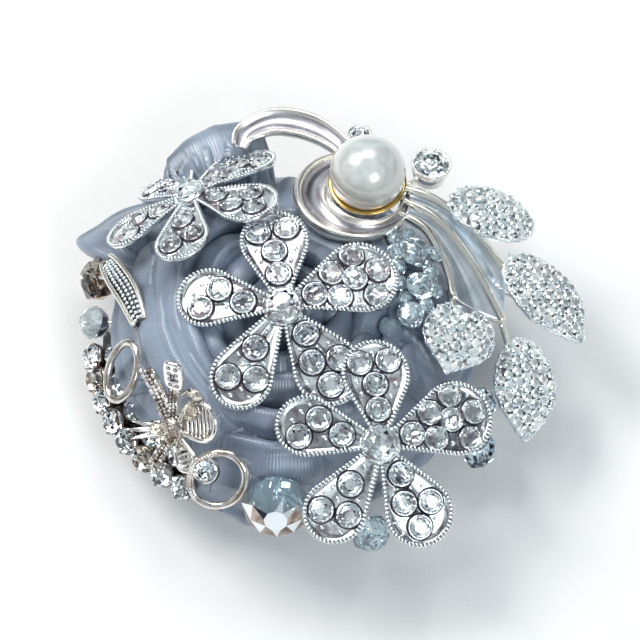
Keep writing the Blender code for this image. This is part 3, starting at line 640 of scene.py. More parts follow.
# Brown mirror for the lower facets of one bead: a painted brown reflection.
BROWN_REFLECTION_FOIL = metal("painted brown reflection foil", (0.16, 0.11, 0.09), (0.62, 0.52, 0.45), 0.08, 420.0, 0.0)
ORCHID_SILVER = metal(
    "darkened grains", (0.24, 0.19, 0.17), (0.92, 0.90, 0.88), 0.2, 600.0, 0.00003, (0.40, 0.56)
)
CHAIN_SILVER = metal(
    "brown cup silver", (0.16, 0.11, 0.09), (0.70, 0.64, 0.58), 0.25, 600.0, 0.00003, (0.42, 0.60)
)
PAVE_STONE = pave_stone_material()
BEAD_KINDS = {
    "smoky": (SMOKY_GLASS, BROWN_FOIL),
    "clear": (CLEAR_GLASS, FOIL),
    "ice": (ICE_GLASS, FOIL),
    "blue": (BEAD_GLASS, FOIL),
    # Blue glass with a painted brown reflection in its lower facets.
    "blue_painted_reflection": (BLUE_GLASS, BROWN_REFLECTION_FOIL, FOIL),
}


# ---------------------------------------------------------------- satin rose
# Folds of the rolled ribbon, for each CAD node: centre x, y, crest radius, start angle, sweep, width, lift.
FOLDS = {
    "satin_bud": (
        (0.4, 0.2, 1.9, 0, 420, 1.0, 0.4),
        (1.2, -0.4, 5.0, 110, 190, 1.6, 0.2),
        (-0.6, 0.8, 5.4, 290, 190, 1.5, 0.0),
    ),
    "satin_inner_fold": (
        (1.6, -0.2, 8.9, 80, 150, 2.0, 0.5),
        (0.2, -0.6, 9.2, 215, 150, 2.1, 0.2),
        (0.4, 0.8, 9.0, 335, 130, 1.9, 0.3),
        (1.8, 0.0, 13.2, 110, 125, 1.9, 0.6),
        (0.6, -0.4, 13.2, 222, 130, 2.0, 0.3),
        (0.6, 0.4, 12.6, 330, 145, 1.9, 0.4),
    ),
    "satin_rolled_fold": (
        (2.2, 0.2, 18.2, 92, 152, 1.15, 1.5),
        (1.4, -0.6, 18.6, 218, 128, 1.3, 1.1),
        (0.6, 0.0, 17.6, 325, 145, 1.3, 0.8),
    ),
}
# Across a fold, from the valley inside it over its crest and down: distance outwards and height.
FOLD_SECTION = (
    (-0.75, -6.0), (-0.85, -3.4), (-0.80, -1.5), (-0.50, -0.35), (0.0, 0.0),
    (0.6, -0.40), (1.3, -1.5), (1.95, -3.1), (2.4, -4.9), (2.6, -7.0),
)
# Narrow rolled edges, for each CAD node: the width, then points x, y and height above the dome.
HEMS = {
    "satin_rolled_fold": (
        (
            1.0,
            ((-9.6, 15.6, 1.0), (-13.2, 12.6, 1.5), (-14.6, 7.6, 1.8), (-14.6, 0.8, 2.0), (-13.6, -5.4, 1.8),
             (-11.2, -10.8, 1.2), (-7.6, -15.6, 0.3), (-1.6, -19.2, 0.2), (5.2, -20.6, 0.2)),
        ),
        (0.9, ((-8.4, -21.4, 1.4), (-3.4, -23.2, 1.7), (1.6, -23.6, 1.6), (6.4, -22.8, 1.0))),
        (0.8, ((-8.8, -24.0, 1.2), (-5.0, -25.6, 1.5), (-0.6, -26.4, 1.2))),
        (
            0.8,
            ((-17.6, 6.4, 0.9), (-18.2, 0.2, 1.2), (-17.2, -6.2, 1.3), (-14.4, -11.8, 1.2),
             (-10.2, -16.6, 0.9)),
        ),
    ),
    "satin_inner_fold": (
        (
            0.8,
            ((-4.2, 10.6, 0.9), (-8.2, 8.8, 1.3), (-10.4, 4.6, 1.5), (-10.8, -0.6, 1.4), (-9.6, -5.6, 0.9)),
        ),
    ),
}
# Across a hem, from the groove inside it over its lip and down.
HEM_SECTION = (
    (-1.0, -4.2), (-0.85, -2.6), (-0.95, -1.3), (-0.85, -0.3), (-0.40, 0.38), (0.1, 0.5),
    (0.55, 0.2), (0.8, -0.5), (1.5, -0.9), (2.7, -1.5), (4.2, -2.7), (5.0, -4.4),
)
ROSE_CORE = ((0.0, 10.9), (21.0, 10.9), (20.5, 13.0), (17.5, 16.5), (12.0, 19.0), (6.0, 20.2), (0.0, 20.6))


def measured(grid):
    """Distances along and across a grid of points, for its UVs."""
    points = np.asarray(grid, float)
    rows, columns, _ = points.shape
    along = np.linalg.norm(np.diff(points[rows // 2], axis=0), axis=1)
    across = np.linalg.norm(np.diff(points[:, columns // 2], axis=0), axis=1)
    return np.concatenate([[0], np.cumsum(along)]), np.concatenate([[0], np.cumsum(across)])


def satin_piece(name, grids, node, thickness=0.35):
    """Sheets of satin from grids of points (rows across the fold, columns along it), as one piece."""
    shape, uvs = Shape(), []
    for grid in grids:
        rows, columns, _ = grid.shape
        corners = [i * columns + j for i in range(rows - 1) for j in range(columns - 1)]
        faces = [(a, a + 1, a + columns + 1, a + columns) for a in corners]
        shape.add(grid.reshape(-1, 3).tolist(), faces)
        uvs.append(np.stack(np.meshgrid(*measured(grid)), axis=-1).reshape(-1, 2))
    obj = shape.build(name, [SATIN], node=node, slot="satin", uv=np.concatenate(uvs))
    solid = obj.modifiers.new("cloth thickness", "SOLIDIFY")
    solid.thickness = thickness * MM
    solid.offset = -1.0
    return obj


def rumple(grid, depth, seed, stretch):
    """Moves each point along the sheet's normal by smooth noise, to make soft creases."""
    points = np.asarray(grid, float)
    normal = np.cross(np.gradient(points, axis=1), np.gradient(points, axis=0))
    normal /= np.maximum(np.linalg.norm(normal, axis=2, keepdims=True), 1e-9)
    u, v = measured(points)
    for i, across in enumerate(v):
        for j, along in enumerate(u):
            spot = Vector((along * stretch[0], across * stretch[1], seed * 7.3))
            points[i, j] += normal[i, j] * depth * noise.noise(spot)
    return points


def ribbon_fold(x, y, radius, start, sweep, width, lift, seed):
    """One fold of the rolled ribbon: it rises out of the valley inside it, turns over a round crest and falls
    away outwards, and both its ends are tucked under its neighbours."""
    columns = max(30, int(sweep * radius / 26))
    grid = []
    for j in range(columns):
        t = j / (columns - 1)
        angle = math.radians(start + sweep * t)
        wave = noise.noise(Vector((1.7 * math.cos(angle), 1.7 * math.sin(angle), seed)))
        swell = math.sin(math.pi * t) ** 0.45
        crest = radius + 1.1 * wave + 0.8 * (t - 0.5)
        middle = Vector((x + crest * math.cos(angle), y + crest * math.sin(angle)))
        high = dome_z(min(FOLD_REACH, middle.length)) + lift + 0.9 * wave - 3.2 * (1 - swell)
        spread = width * (0.55 + 0.45 * swell)
        curve = smooth_route([(crest + across * spread, high + up, 0) for across, up in FOLD_SECTION], 3)
        column = [polar(max(0.2, out), angle, z) for out, z, _ in curve]
        grid.append([(x + px, y + py, z) for px, py, z in column])
    grid = np.array(grid).transpose(1, 0, 2)
    for depth, draw, stretch in ((0.60, 3, (0.05, 0.30)), (0.35, 17, (0.03, 0.75)), (0.16, 40, (0.4, 0.10))):
        grid = rumple(grid, depth, seed + draw, stretch)
    return grid


def rolled_hem(width, points, seed):
    """A narrow rolled edge of the ribbon along a route over the rose: a round lip with a groove inside it,
    and the cloth running away outwards and down."""
    route = smooth_route(points, 9)
    last = len(route) - 1
    grid = []
    for i, point in enumerate(route):
        across = direction(route, i).cross(UP).normalized()
        swell = math.sin(math.pi * i / last) ** 0.4 if i < last else 0.0
        high = dome_z(min(FOLD_REACH, math.hypot(point.x, point.y))) + point.z - 0.2 - 2.8 * (1 - swell)
        wobble = 0.35 * noise.noise(Vector((0.22 * i, seed * 3.1, 0)))
        base = Vector((point.x, point.y, 0)) + across * wobble
        grid.append([tuple(base + across * s * width + UP * (high + up * width)) for s, up in HEM_SECTION])
    return rumple(np.array(grid).transpose(1, 0, 2), 0.22, seed + 60, (0.12, 0.4))


def outer_petal(start, end, first_reach, last_reach, rim_z, inner_z, lift, seed):
    """An outer petal: a broad sheet that comes out from under the rolled fold and rolls under at its rim. Its
    two side edges curve back to lie under and over its neighbours."""
    inner = ROLLED_FOLD_RADIUS - 3.5
    columns, rows, curl_rows = 72, 34, 12
    over, curl = 0.24, 1.1
    grid = np.zeros((rows + curl_rows, columns, 3))
    for j in range(columns):
        s = -over + (1 + 2 * over) * j / (columns - 1)
        beyond = max(0.0, -s, s - 1) / over
        angle = math.radians(start + (end - start) * s)
        ripple = noise.noise(Vector((2.2 * s, seed * 3.7, 0)))
        reach = first_reach + (last_reach - first_reach) * min(1.0, max(0.0, s))
        out = inner + 1.0 + (reach - inner - 1.0) * math.sqrt(max(0.0, 1 - 0.93 * beyond**2.2))
        out += 0.5 * ripple - 0.6 * curl
        tilt = 1.5 * (0.5 - s)
        for i in range(rows):
            t = i / (rows - 1)
            radius = inner + (out - inner) * t
            share = (radius - inner) / (reach - inner)
            fall = math.sqrt(max(0.0, 1 - share**2.6))
            z = rim_z + curl + (inner_z + 0.6 - rim_z - curl) * fall + lift * share**2
            z += tilt * math.sin(math.pi * min(1.0, 0.25 + t)) + 0.8 * ripple * t
            if t < 0.9:
                crease = noise.noise(Vector((3.4 * s + 1.3 * t, 0.9 * t, seed * 5.1)))
                z += 1.5 * max(0.0, 1 - 2.4 * abs(crease)) ** 5 * math.sin(math.pi * (t + 0.1)) ** 0.5
            grid[i, j] = polar(radius, angle, z)
        base = grid[rows - 1, j, 2]
        for i in range(curl_rows):
            turn = math.radians(15 + 225 * (i + 1) / curl_rows)
            grid[rows + i, j] = polar(out + curl * math.sin(turn), angle, base - curl * (1 - math.cos(turn)))
    grid = rumple(grid, 1.3, seed + 11, (0.12, 0.035))
    grid = rumple(grid, 0.22, seed + 23, (0.35, 0.07))
    grid[:, :, 2] = np.maximum(grid[:, :, 2], 0.6)
    return grid


def satin_rose():
    seed = 0
    for node, folds in FOLDS.items():
        grids = []
        for fold in folds:
            seed += 1
            grids.append(ribbon_fold(*fold, seed=seed))
        for hem in HEMS.get(node, ()):
            seed += 1
            grids.append(rolled_hem(*hem, seed=seed))
        satin_piece(node.replace("satin", "rose"), grids, node)
    for number, petal in enumerate(OUTER_PETALS, 1):
        grid = outer_petal(*petal, seed=number)
        piece = satin_piece(f"rose_petal_{number}", [grid], f"satin_petal_{number}", 0.4)
    # The core dome under the folds takes the darker satin of painted shade.
    core = Shape().add(*revolve(ROSE_CORE, 48))
    core.build("rose_core", [SATIN_SHADE], slot="satin")


# ---------------------------------------------------------------- five-petal castings
def teardrop(length, round_radius, steps=26, sides=7, stem=1.15):
    """Outline of a petal along +X: straight sides from a narrow stem that meet a round end."""
    foot = 2.0
    middle = length - round_radius
    arc_from = math.pi - math.acos(min(0.97, round_radius / middle)) * 0.93
    top = (middle + round_radius * math.cos(arc_from), round_radius * math.sin(arc_from))
    edge = [(foot + (top[0] - foot) * k / sides, stem + (top[1] - stem) * k / sides) for k in range(sides)]
    arc = [polar(round_radius, -arc_from + 2 * arc_from * k / steps) for k in range(steps + 1)]
    return [*((x, -y) for x, y in edge), *((middle + x, y) for x, y, _ in arc), *reversed(edge)]


def shrunk(x, y, length, round_radius, scale):
    """A point of a petal's outline, brought closer to the petal's spine."""
    spine = min(max(x, 3.0), length - round_radius)
    return spine + (x - spine) * scale, y * scale


def petal_surface(outline, length, round_radius, droop, heading, bowl=0.42):
    """Rings of a dished petal, from the underside's middle round the rim to the bowl's middle."""
    turn = math.radians(heading)
    layers = (
        (0.0, -1.0), (0.6, -0.95), (0.97, -0.75), (1.0, -0.35), (1.0, -0.06), (0.985, 0.0), (0.9, 0.0),
        (0.885, -0.04), (0.86, -0.5 * bowl), (0.7, -0.75 * bowl), (0.4, -0.95 * bowl), (0.0, -bowl),
    )
    rings = []
    for scale, z in layers:
        ring = []
        for point in outline:
            x, y = shrunk(*point, length, round_radius, scale)
            across = x * math.sin(turn) + y * math.cos(turn)
            ring.append((x * math.cos(turn) - y * math.sin(turn), across, z - droop * (x * x + y * y)))
        rings.append(ring)
    return rings


def milgrain(outline, length, round_radius):
    """Frames of the beads along a petal's rim, each with its X axis across the rim."""
    rim = [Vector(shrunk(*point, length, round_radius, 0.95)) for point in outline]
    frames, carried = [], 0.0
    for a, b in zip(rim, rim[1:]):
        step = (b - a).length
        across = math.atan2(b.y - a.y, b.x - a.x) - math.pi / 2
        while carried < step:
            p = a.lerp(b, carried / step)
            place = shifted(p.x, p.y, 0.10 - FLOWER_DROOP * p.length_squared)
            frames.append(place @ Matrix.Rotation(across + 0.35, 4, "Z"))
            carried += MILGRAIN_PITCH
        carried -= step
    return frames


def petal_grains(length, round_radius, seats):
    """Free spots in a petal's bowl for the small raised dots between its stones."""
    spots = []
    middle = length - round_radius
    wide = 0.86 * round_radius
    x = 4.2
    while x < length - 1.7:
        half = wide * (x - 2) / (middle - 2)
        if x >= middle:
            half = math.sqrt(max(0.0, wide**2 - (x - middle) ** 2))
        across = -half + 0.7
        while across < half - 0.6:
            clear = all(math.hypot(x - a, across - c) > STONE_RADIUS * 1.28 + 0.35 for a, c in seats)
            if clear and all(math.hypot(x - a, across - c) > 1.7 for a, c in spots):
                spots.append((x, across))
            across += 0.4
        x += 0.5
    return spots


def stone_collar(radius):
    """A low ring that holds a stone in the casting, with a groove round it whose sides take slot 1, a dark
    painted shade: (vertices, faces, slots).
    """
    groove = ((1.30, -0.22), (1.17, -0.20), (1.14, 0.10))
    profile = ((1.30, -0.9), *groove, (1.05, 0.20), (0.95, 0.06), (0.95, -0.9))
    vertices, faces = hoop([(share * radius, z) for share, z in profile], 22)
    # Slot 1 on the groove's two sides: painted shade round the stone.
    return vertices, faces, slots_by_side(faces, len(profile), (1, 2))


def set_stone(plate, beads, stones, place, spin):
    """One stone of a casting in its collar, with four claws."""
    plate.add(*stone_collar(STONE_RADIUS), place)
    stones.add(*BRILLIANT, scaled(place @ shifted(0, 0, 0.12) @ Matrix.Rotation(spin, 4, "Z"), STONE_RADIUS))
    for k in range(4):
        beads.add_grain(place @ turned(45 + 90 * k) @ shifted(STONE_RADIUS * 1.02, 0, 0.28), 0.27)


def flower_casting(name, x, y, z, lean, toward, spin, scale):
    """A casting of five dished petals with beaded rims, their stones, and a large stone in the middle."""
    frame = scaled(seat(x, y, z, lean, toward, spin), scale)
    plate, beads, stones = Shape(), Shape(), Shape()
    rng = random.Random(name)
    for (heading, length, round_radius), seats in zip(FLOWER_PETALS, PETAL_STONES):
        outline = teardrop(length, round_radius)
        vertices, faces = loft(petal_surface(outline, length, round_radius, FLOWER_DROOP, heading))
        # Slot 1 on the flat top of the rim under the beads: painted shade in the gaps between them.
        plate.add(vertices, faces, slots_between(faces, 5 * len(outline), 6 * len(outline)), frame)
        petal = frame @ turned(heading)
        for place in milgrain(outline, length, round_radius):
            beads.add_grain(petal @ place, (0.52, 0.29, 0.34))
        for along, across in seats:
            high = -0.02 - FLOWER_DROOP * (along**2 + across**2)
            tilt = Matrix.Rotation(2 * FLOWER_DROOP * along, 4, "Y")
            set_stone(plate, beads, stones, petal @ shifted(along, across, high) @ tilt, rng.uniform(0, 1))
        for along, across in petal_grains(length, round_radius, seats):
            high = -0.22 - FLOWER_DROOP * (along**2 + across**2)
            beads.add_grain(petal @ shifted(along, across, high), 0.40)
    hub = ((0, -2.6), (2.6, -2.6), (2.6, -1.0), (3.3, -0.6), (3.2, 0.1), (2.6, 0.9), (0, 0.9))
    plate.add(*revolve(hub, 30), matrix=frame)
    stone_seat = frame @ shifted(0, 0, 1.35)
    for heading, *_ in FLOWER_PETALS:
        claw = stone_seat @ turned(heading + 36) @ shifted(CENTRE_STONE_RADIUS * 1.1, 0, 0.1)
        beads.add_grain(claw, (0.5, 0.36, 0.6))
    plate.build(f"{name}_casting", [DISH_SILVER, GAP_SHADE_DARK_METAL], node=f"{name}_plate", slot="silver_plate")
    beads.build(f"{name}_milgrain", [SILVER], slot="silver_plate")
    stones.build(f"{name}_rhinestones", [CRYSTAL, FOIL], smooth=False, slot="cut_crystal")
    cut_stone(f"{name}_chaton", f"{name}_centre_stone", scaled(stone_seat, 1.12 * CENTRE_STONE_RADIUS))


def cut_stone(name, node, place, foil=None):
    """A round stone that stands for a CAD node by itself."""
    stone = Shape().add(*BRILLIANT, place)
    stone.build(name, [CRYSTAL, foil or FOIL], smooth=False, node=node, slot="cut_crystal")


def five_petal_castings():
    for name, place in FLOWERS.items():
        flower_casting(name, *place)


# ---------------------------------------------------------------- pearl brooch
def add_scroll(casting):
    """The grooved scroll over the top: two raised edges with a channel between them in painted shade."""
    edge = (
        (-1.0, -0.8), (-1.06, 0.1), (-1.02, 0.5), (-0.9, 0.66), (-0.76, 0.6), (-0.62, 0.15), (-0.35, -0.15),
    )
    channel = (*edge, (0.0, -0.24), *((-across, up) for across, up in reversed(edge)))
    route = smooth_route(SCROLL_ROUTE, 10)
    last = len(route) - 1
    widths = [0.85 + 1.5 * math.sin(math.pi * min(0.82, 0.08 + 0.9 * i / last)) for i in range(last + 1)]
    vertices, faces = bar(route, channel, widths)
    casting.add(vertices, faces, slots_by_side(faces, len(channel), range(5, 9)))


def add_gutter(casting):
    """The oval dish round the pearl: from its outer rim down into a gutter and up to the hole's edge."""
    frame = seat(*GUTTER_SEAT)
    hole_x, hole_y, hole_radius = GUTTER_HOLE
    # Share of the way from the outer edge to the hole, and height.
    section = (
        (0.00, -1.1), (-0.03, 0.1), (0.01, 0.70), (0.07, 0.90), (0.15, 0.80), (0.21, 0.20), (0.30, -0.45),
        (0.5, -0.75), (0.68, -0.70), (0.78, -0.2), (0.84, 0.45), (0.92, 0.60), (1.0, 0.40), (1.0, -1.1),
    )
    rings = []
    for angle in round_turn(96):
        outer = Vector(oval(GUTTER_SEMI_AXES, angle))
        inner = Vector((hole_x, hole_y, 0)) + Vector(polar(hole_radius, angle))
        rings.append([frame @ (outer.lerp(inner, across) + UP * up) for across, up in section])
    vertices, faces = loft(rings, closed=True)
    # Slot 1 on the gutter's floor: darker silver as painted shade.
    casting.add(vertices, faces, slots_by_side(faces, len(section), range(5, 9)))


def add_streamer(casting):
    """The streamer: three tapered ribs with a sagging web between each two."""
    ribs = [smooth_route(rib, 10) for rib in STREAMER_RIBS]
    web_steps, thickness = 6, UP * 1.5
    rings = []
    for inner, middle, outer in zip(*ribs):
        ring = []
        for a, b in ((inner, middle), (middle, outer)):
            for k in range(web_steps):
                t = k / web_steps
                ring.append(a.lerp(b, t) - UP * (0.95 * math.sin(math.pi * t) + 0.1))
        rings.append([*ring, outer, outer - thickness, middle - thickness, inner - thickness])
    vertices, faces = loft(rings)
    casting.add(vertices, faces, slots_by_side(faces, len(rings[0]), range(2 * web_steps), 2))
    for rib in ribs:
        shares = [i / len(rib) for i in range(len(rib))]
        taper = [min(1.0, 0.55 + 3 * t) * (1.0 - 0.25 * t) for t in shares]
        casting.add(*tube(rib, 0.8, steps=10, taper=taper))


def brooch_casting():
    casting = Shape()
    add_scroll(casting)
    add_gutter(casting)
    add_streamer(casting)
    for stem in (*LEAF_STEMS, *BEZEL_STALKS):
        casting.add(*tube(smooth_route(stem, 5), 0.55))
    looks = [CREAM_SILVER, SHADED_CHANNEL_SILVER, STREAMER_SILVER]
    casting.build("pearl_brooch", looks, node="pearl_brooch_casting", slot="silver_plate")


def pearl_in_cup():
    """The pearl, and the cup that holds it: bright outside and gilt inside."""
    place = shifted(*PEARL_SEAT)
    shell = ((0.0, -1.4), (3.2, -1.2), (4.5, 0.0), (5.0, 0.9), (5.5, 2.0), (5.95, 2.8), (6.2, 3.1))
    lining = ((6.15, 3.35), (5.5, 3.22), (5.0, 2.3), (3.9, 1.0), (1.8, -0.2), (0.0, -0.3))
    segments = 72
    vertices, faces = revolve((*shell, *lining), segments)
    gilt_from = (len(shell) - 1) * segments
    cup = Shape().add(vertices, faces, slots_between(faces, gilt_from, len(faces)), place)
    cup.build("gilt_pearl_cup", [BRIGHT_SILVER, GILT], node="pearl_cup", slot="silver_plate")
    ball = revolve(half_round(PEARL_RADIUS, 48), 96)
    pearl = Shape().add(*ball, matrix=place @ shifted(0, 0, PEARL_RADIUS - 0.2))
    pearl.build("big_pearl", [PEARL], node="pearl", slot="pearl_coat")


def bezel(label, x, y, z, lean, toward, radius):
    """A single stone in a cup with a beaded rim."""
    frame = seat(x, y, z, lean, toward)
    cup = ((0, -0.6), (0.8, -0.6), (0.98, 0), (1.02, 0.4))
    profile = (*cup, (0.96, 0.5), (0.88, 0.46), (0.82, 0.2), (0, -0.45))
    holder = Shape().add(*revolve([(r * radius, h * radius) for r, h in profile], 40), matrix=frame)
    for angle in round_turn(int(2 * math.pi * radius / 0.62)):
        turn = Matrix.Rotation(angle, 4, "Z")
        holder.add_grain(frame @ turn @ shifted(0.95 * radius, 0, 0.48 * radius), 0.3)
    holder.build(f"{label}_stone_bezel", [BRIGHT_SILVER], node=f"{label}_bezel", slot="silver_plate")
    place = scaled(frame @ shifted(0, 0, 0.36 * radius), 0.84 * radius)
    cut_stone(f"{label}_brilliant", f"{label}_bezel_stone", place)


def pearl_brooch():
    brooch_casting()
    pearl_in_cup()
    for label, place in BEZELS.items():
        bezel(label, *place)


# ---------------------------------------------------------------- pave leaves
def leaf_point(angle, length, width, point, notch):
    """A point of a leaf's scalloped outline, with a tip along +X and a notch at the stem."""
    x, y = math.cos(angle), math.sin(angle)
    scallop = 1 + 0.018 * math.cos(22 * angle)
    y *= 1 - point * max(0.0, x) ** 2
    x += notch * 2 * math.exp(-((y / 0.4) ** 2)) * max(0.0, -x)
    return 0.5 * length * x * scallop, 0.5 * width * y * scallop


def inside(x, y, outline):
    """Whether a point lies in a closed outline."""
    odd = False
    for (ax, ay), (bx, by) in zip(outline, outline[1:] + outline[:1]):
        if (ay > y) != (by > y) and x < ax + (y - ay) * (bx - ax) / (by - ay):
            odd = not odd
    return odd


def pave_places(outline, length, width):
    """Where a leaf's stones go (x, y, radius): an even pattern, then small ones in gaps along the edge."""
    pitch = 2.04 * PAVE_STONE_RADIUS
    row_step = pitch * math.sqrt(3) / 2
    places = []
    kept = [(px * (1 - 1.15 / length), py * (1 - 1.15 / width)) for px, py in outline]
    for i in range(-9, 10):
        for j in range(-14, 15):
            px, py = (j + 0.5 * (i % 2)) * pitch, i * row_step
            if inside(px, py, kept):
                places.append((px, py, PAVE_STONE_RADIUS))
    for size, inset in ((0.74, 0.62), (0.52, 0.44), (0.38, 0.32)):
        small = size * PAVE_STONE_RADIUS
        for x, y in outline:
            px, py = x * (1 - 2 * inset / length), y * (1 - 2 * inset / width)
            if all(math.hypot(px - a, py - b) > 0.86 * (small + other) for a, b, other in places):
                places.append((px, py, small))
    return places


def pave_leaf(number, x, y, z, lean, toward, spin, length, width, point, notch):
    """A leaf paved with small stones in a hexagonal pattern, with grains of metal between them."""
    frame = seat(x, y, z, lean, toward, spin)
    steps = 72
    outline = [leaf_point(angle, length, width, point, notch) for angle in round_turn(steps)]
    layers = (
        (0.0, -1.1), (0.7, -1.05), (0.96, -0.8), (1.0, -0.5), (1.0, 0.0), (0.985, 0.12),
        (0.95, 0.10), (0.90, 0.0), (0.7, 0.0), (0.35, 0.0), (0.0, 0.0),
    )
    rings = []
    for scale, high in layers:
        droop = LEAF_DROOP * scale**2
        rings.append([(px * scale, py * scale, high - droop * (px * px + py * py)) for px, py in outline])
    plate, beads, stones = Shape(), Shape(), Shape()
    vertices, faces = loft(rings)
    # Slot 1 on the bed inside the rim: painted shade between the stones.
    plate.add(vertices, faces, slots_between(faces, 6 * steps, (len(layers) - 1) * steps), frame)
    rng = random.Random(number)
    for px, py, size in pave_places(outline, length, width):
        high = 0.38 - LEAF_DROOP * (px * px + py * py)
        tilt = Matrix.Rotation(2 * LEAF_DROOP * px + rng.uniform(-0.12, 0.12), 4, "Y")
        tilt = tilt @ Matrix.Rotation(rng.uniform(-0.12, 0.12) - 2 * LEAF_DROOP * py, 4, "X")
        place = frame @ shifted(px, py, high) @ tilt @ Matrix.Rotation(rng.uniform(0, 1), 4, "Z")
        stones.add(*BRILLIANT, scaled(place, size))
        for k in range(3):
            turn = Matrix.Rotation(rng.uniform(0, 0.6) + 2.1 * k, 4, "Z")
            beads.add_grain(place @ turn @ shifted(size * 1.05, 0, 0.05), 0.17)
    for px, py in outline:
        beads.add_grain(frame @ shifted(px * 0.97, py * 0.97, 0.12 - LEAF_DROOP * (px * px + py * py)), 0.24)
    plate.build(f"leaf_{number}_plate", [SILVER, PAVE_BED_PAINTED_SHADE], node=f"pave_leaf_{number}", slot="silver_plate")
    beads.build(f"leaf_{number}_grains", [SILVER], slot="silver_plate")
    stones.build(f"leaf_{number}_pave", [PAVE_STONE, PAVE_STONE], smooth=False, slot="cut_crystal")


def pave_leaves():
    for number, leaf in enumerate(PAVE_LEAVES, 1):
        pave_leaf(number, *leaf)


# ---------------------------------------------------------------- filigree orchid
FLAT_BAR = ((-1, -0.5), (-1, 0.1), (1, 0.1), (1, -0.5))


def on_cup(x, y, above=0.0):
    """A point on the orchid's cupped face, or some way above it."""
    return Vector((x, y, ORCHID_CUP * (x * x + y * y) + above))


def striped_petal(casting, frame, heading, length, round_radius):
    """A fan with a raised bright rim and slanting ridges."""
    outline = teardrop(length, round_radius, 18, 6, 0.9)
    casting.add(*loft(petal_surface(outline, length, round_radius, -ORCHID_CUP, heading, 0.2)), matrix=frame)
    place = frame @ turned(heading)
    casting.add(*tube([on_cup(x, y, 0.1) for x, y in outline], 0.42), 1, place)
    wide = 0.85 * round_radius
    x = 3.4
    while x < length - 0.6:
        half = 0.55 * (x - 1.5)
        if x >= length - round_radius:
            half = math.sqrt(max(0.1, wide**2 - (x - length + round_radius) ** 2))
        half = min(half, wide)
        ridge = [on_cup(x + 0.35 * half * (k / 3 - 1), half * (k / 3 - 1), 0.02) for k in range(7)]
        casting.add(*tube(ridge, 0.24, steps=6), 1, place)
        x += 0.85


def pad_arm(casting, grains, frame, heading, length):
    """A grained neck that ends in a bright oblong pad with small ringed dots."""
    place = frame @ turned(heading)
    neck = [on_cup(1.5 + 0.6 * k, 0, -0.3) for k in range(int((length - 5.6) / 0.6) + 2)]
    casting.add(*bar(neck, FLAT_BAR, [1.15] * len(neck)), matrix=place)
    for point in neck[1:]:
        for across in (-0.65, 0.0, 0.65):
            spot = point + Vector((0.3 if across else 0.0, across, 0.25))
            grains.add_grain(place @ Matrix.Translation(spot), 0.33)
    middle = length - 2.8
    tip = place @ Matrix.Translation(on_cup(middle, 0)) @ Matrix.Rotation(-2 * ORCHID_CUP * middle, 4, "Y")
    oblong = []
    for x, y, _ in (polar(1.0, angle) for angle in round_turn(32)):
        oblong.append((2.8 * math.copysign(abs(x) ** 0.55, x), 1.65 * math.copysign(abs(y) ** 0.55, y)))
    layers = ((0.0, -0.6), (0.92, -0.55), (1.0, -0.3), (1.0, 0.2), (0.9, 0.42), (0.78, 0.34), (0.0, 0.34))
    casting.add(*loft([[(x * size, y * size, z) for x, y in oblong] for size, z in layers]), 1, tip)
    for x in (-1.65, -0.55, 0.55, 1.65):
        for y in (-0.6, 0.6):
            spot = tip @ shifted(x, y, 0.34)
            casting.add(*hoop(((0.36, -0.1), (0.34, 0.06), (0.24, 0.06), (0.22, -0.1)), 10), 2, spot)
            casting.add_grain(spot, (0.2, 0.2, 0.12), 1)


def beaded_arm(casting, grains, frame, heading, length, width):
    """A column of round grains on a narrow bar."""
    place = frame @ turned(heading)
    spine = [on_cup(1.8 + 0.62 * k, 0, -0.35) for k in range(int((length - 1.8) / 0.62) + 1)]
    casting.add(*bar(spine, FLAT_BAR, [width] * len(spine)), matrix=place)
    for k, point in enumerate(spine):
        for side in (-1, 0, 1):
            spot = point + Vector((0.31 * (k % 2 if side else 0), 0.62 * width * side, 0.3))
            grains.add_grain(place @ Matrix.Translation(spot), 0.38)


def spike(casting, frame, heading, length):
    """A thin ridged leaf that runs to a point."""
    place = frame @ turned(heading)
    steps = 8
    taper = [1.0 - 0.1 * k for k in range(steps + 1)]
    for offset in (-0.35, 0.35):
        line = []
        for k in range(steps + 1):
            t = k / steps
            line.append(Vector((1.4 + (length - 1.4) * t, offset * (1 - t), on_cup(length * t, 0).z)))
        casting.add(*tube(line, 0.42, steps=6, taper=taper), 1, place)


def open_ring(name, node, grains, x, y, z, lean, toward, spin, *semi_axes):
    """A polished wire ring, with grains along part of it."""
    centre = seat(x, y, z, lean, toward, spin)
    ring = [centre @ Vector(oval(semi_axes, angle)) for angle in round_turn(64)]
    rim = Shape().add(*tube(ring, 0.62, centre.to_3x3() @ UP, closed=True, steps=12))
    for k in grains:
        rim.add_grain(centre @ shifted(*oval(semi_axes, 2 * math.pi * k / 60, 0.72)), 0.42)
    rim.build(name, [RING_SILVER], node=node, slot="silver_plate")
    return centre


def loop_stone(centre):
    """The stone in its collar beside the open loop."""
    aside = centre.to_3x3().inverted() @ Vector((-1.7, 1.5, 0.6))
    place = centre @ shifted(aside.x, aside.y, 0.9)
    stone = Shape().add(*BRILLIANT, scaled(place, LOOP_STONE_RADIUS))
    vertices, faces, _ = stone_collar(LOOP_STONE_RADIUS)
    stone.add(vertices, faces, 2, place @ shifted(0, 0, -0.1))
    looks = [CRYSTAL, FOIL, BRIGHT_SILVER]
    stone.build("loop_brilliant", looks, smooth=False, node="stone_loop_crystal", slot="cut_crystal")


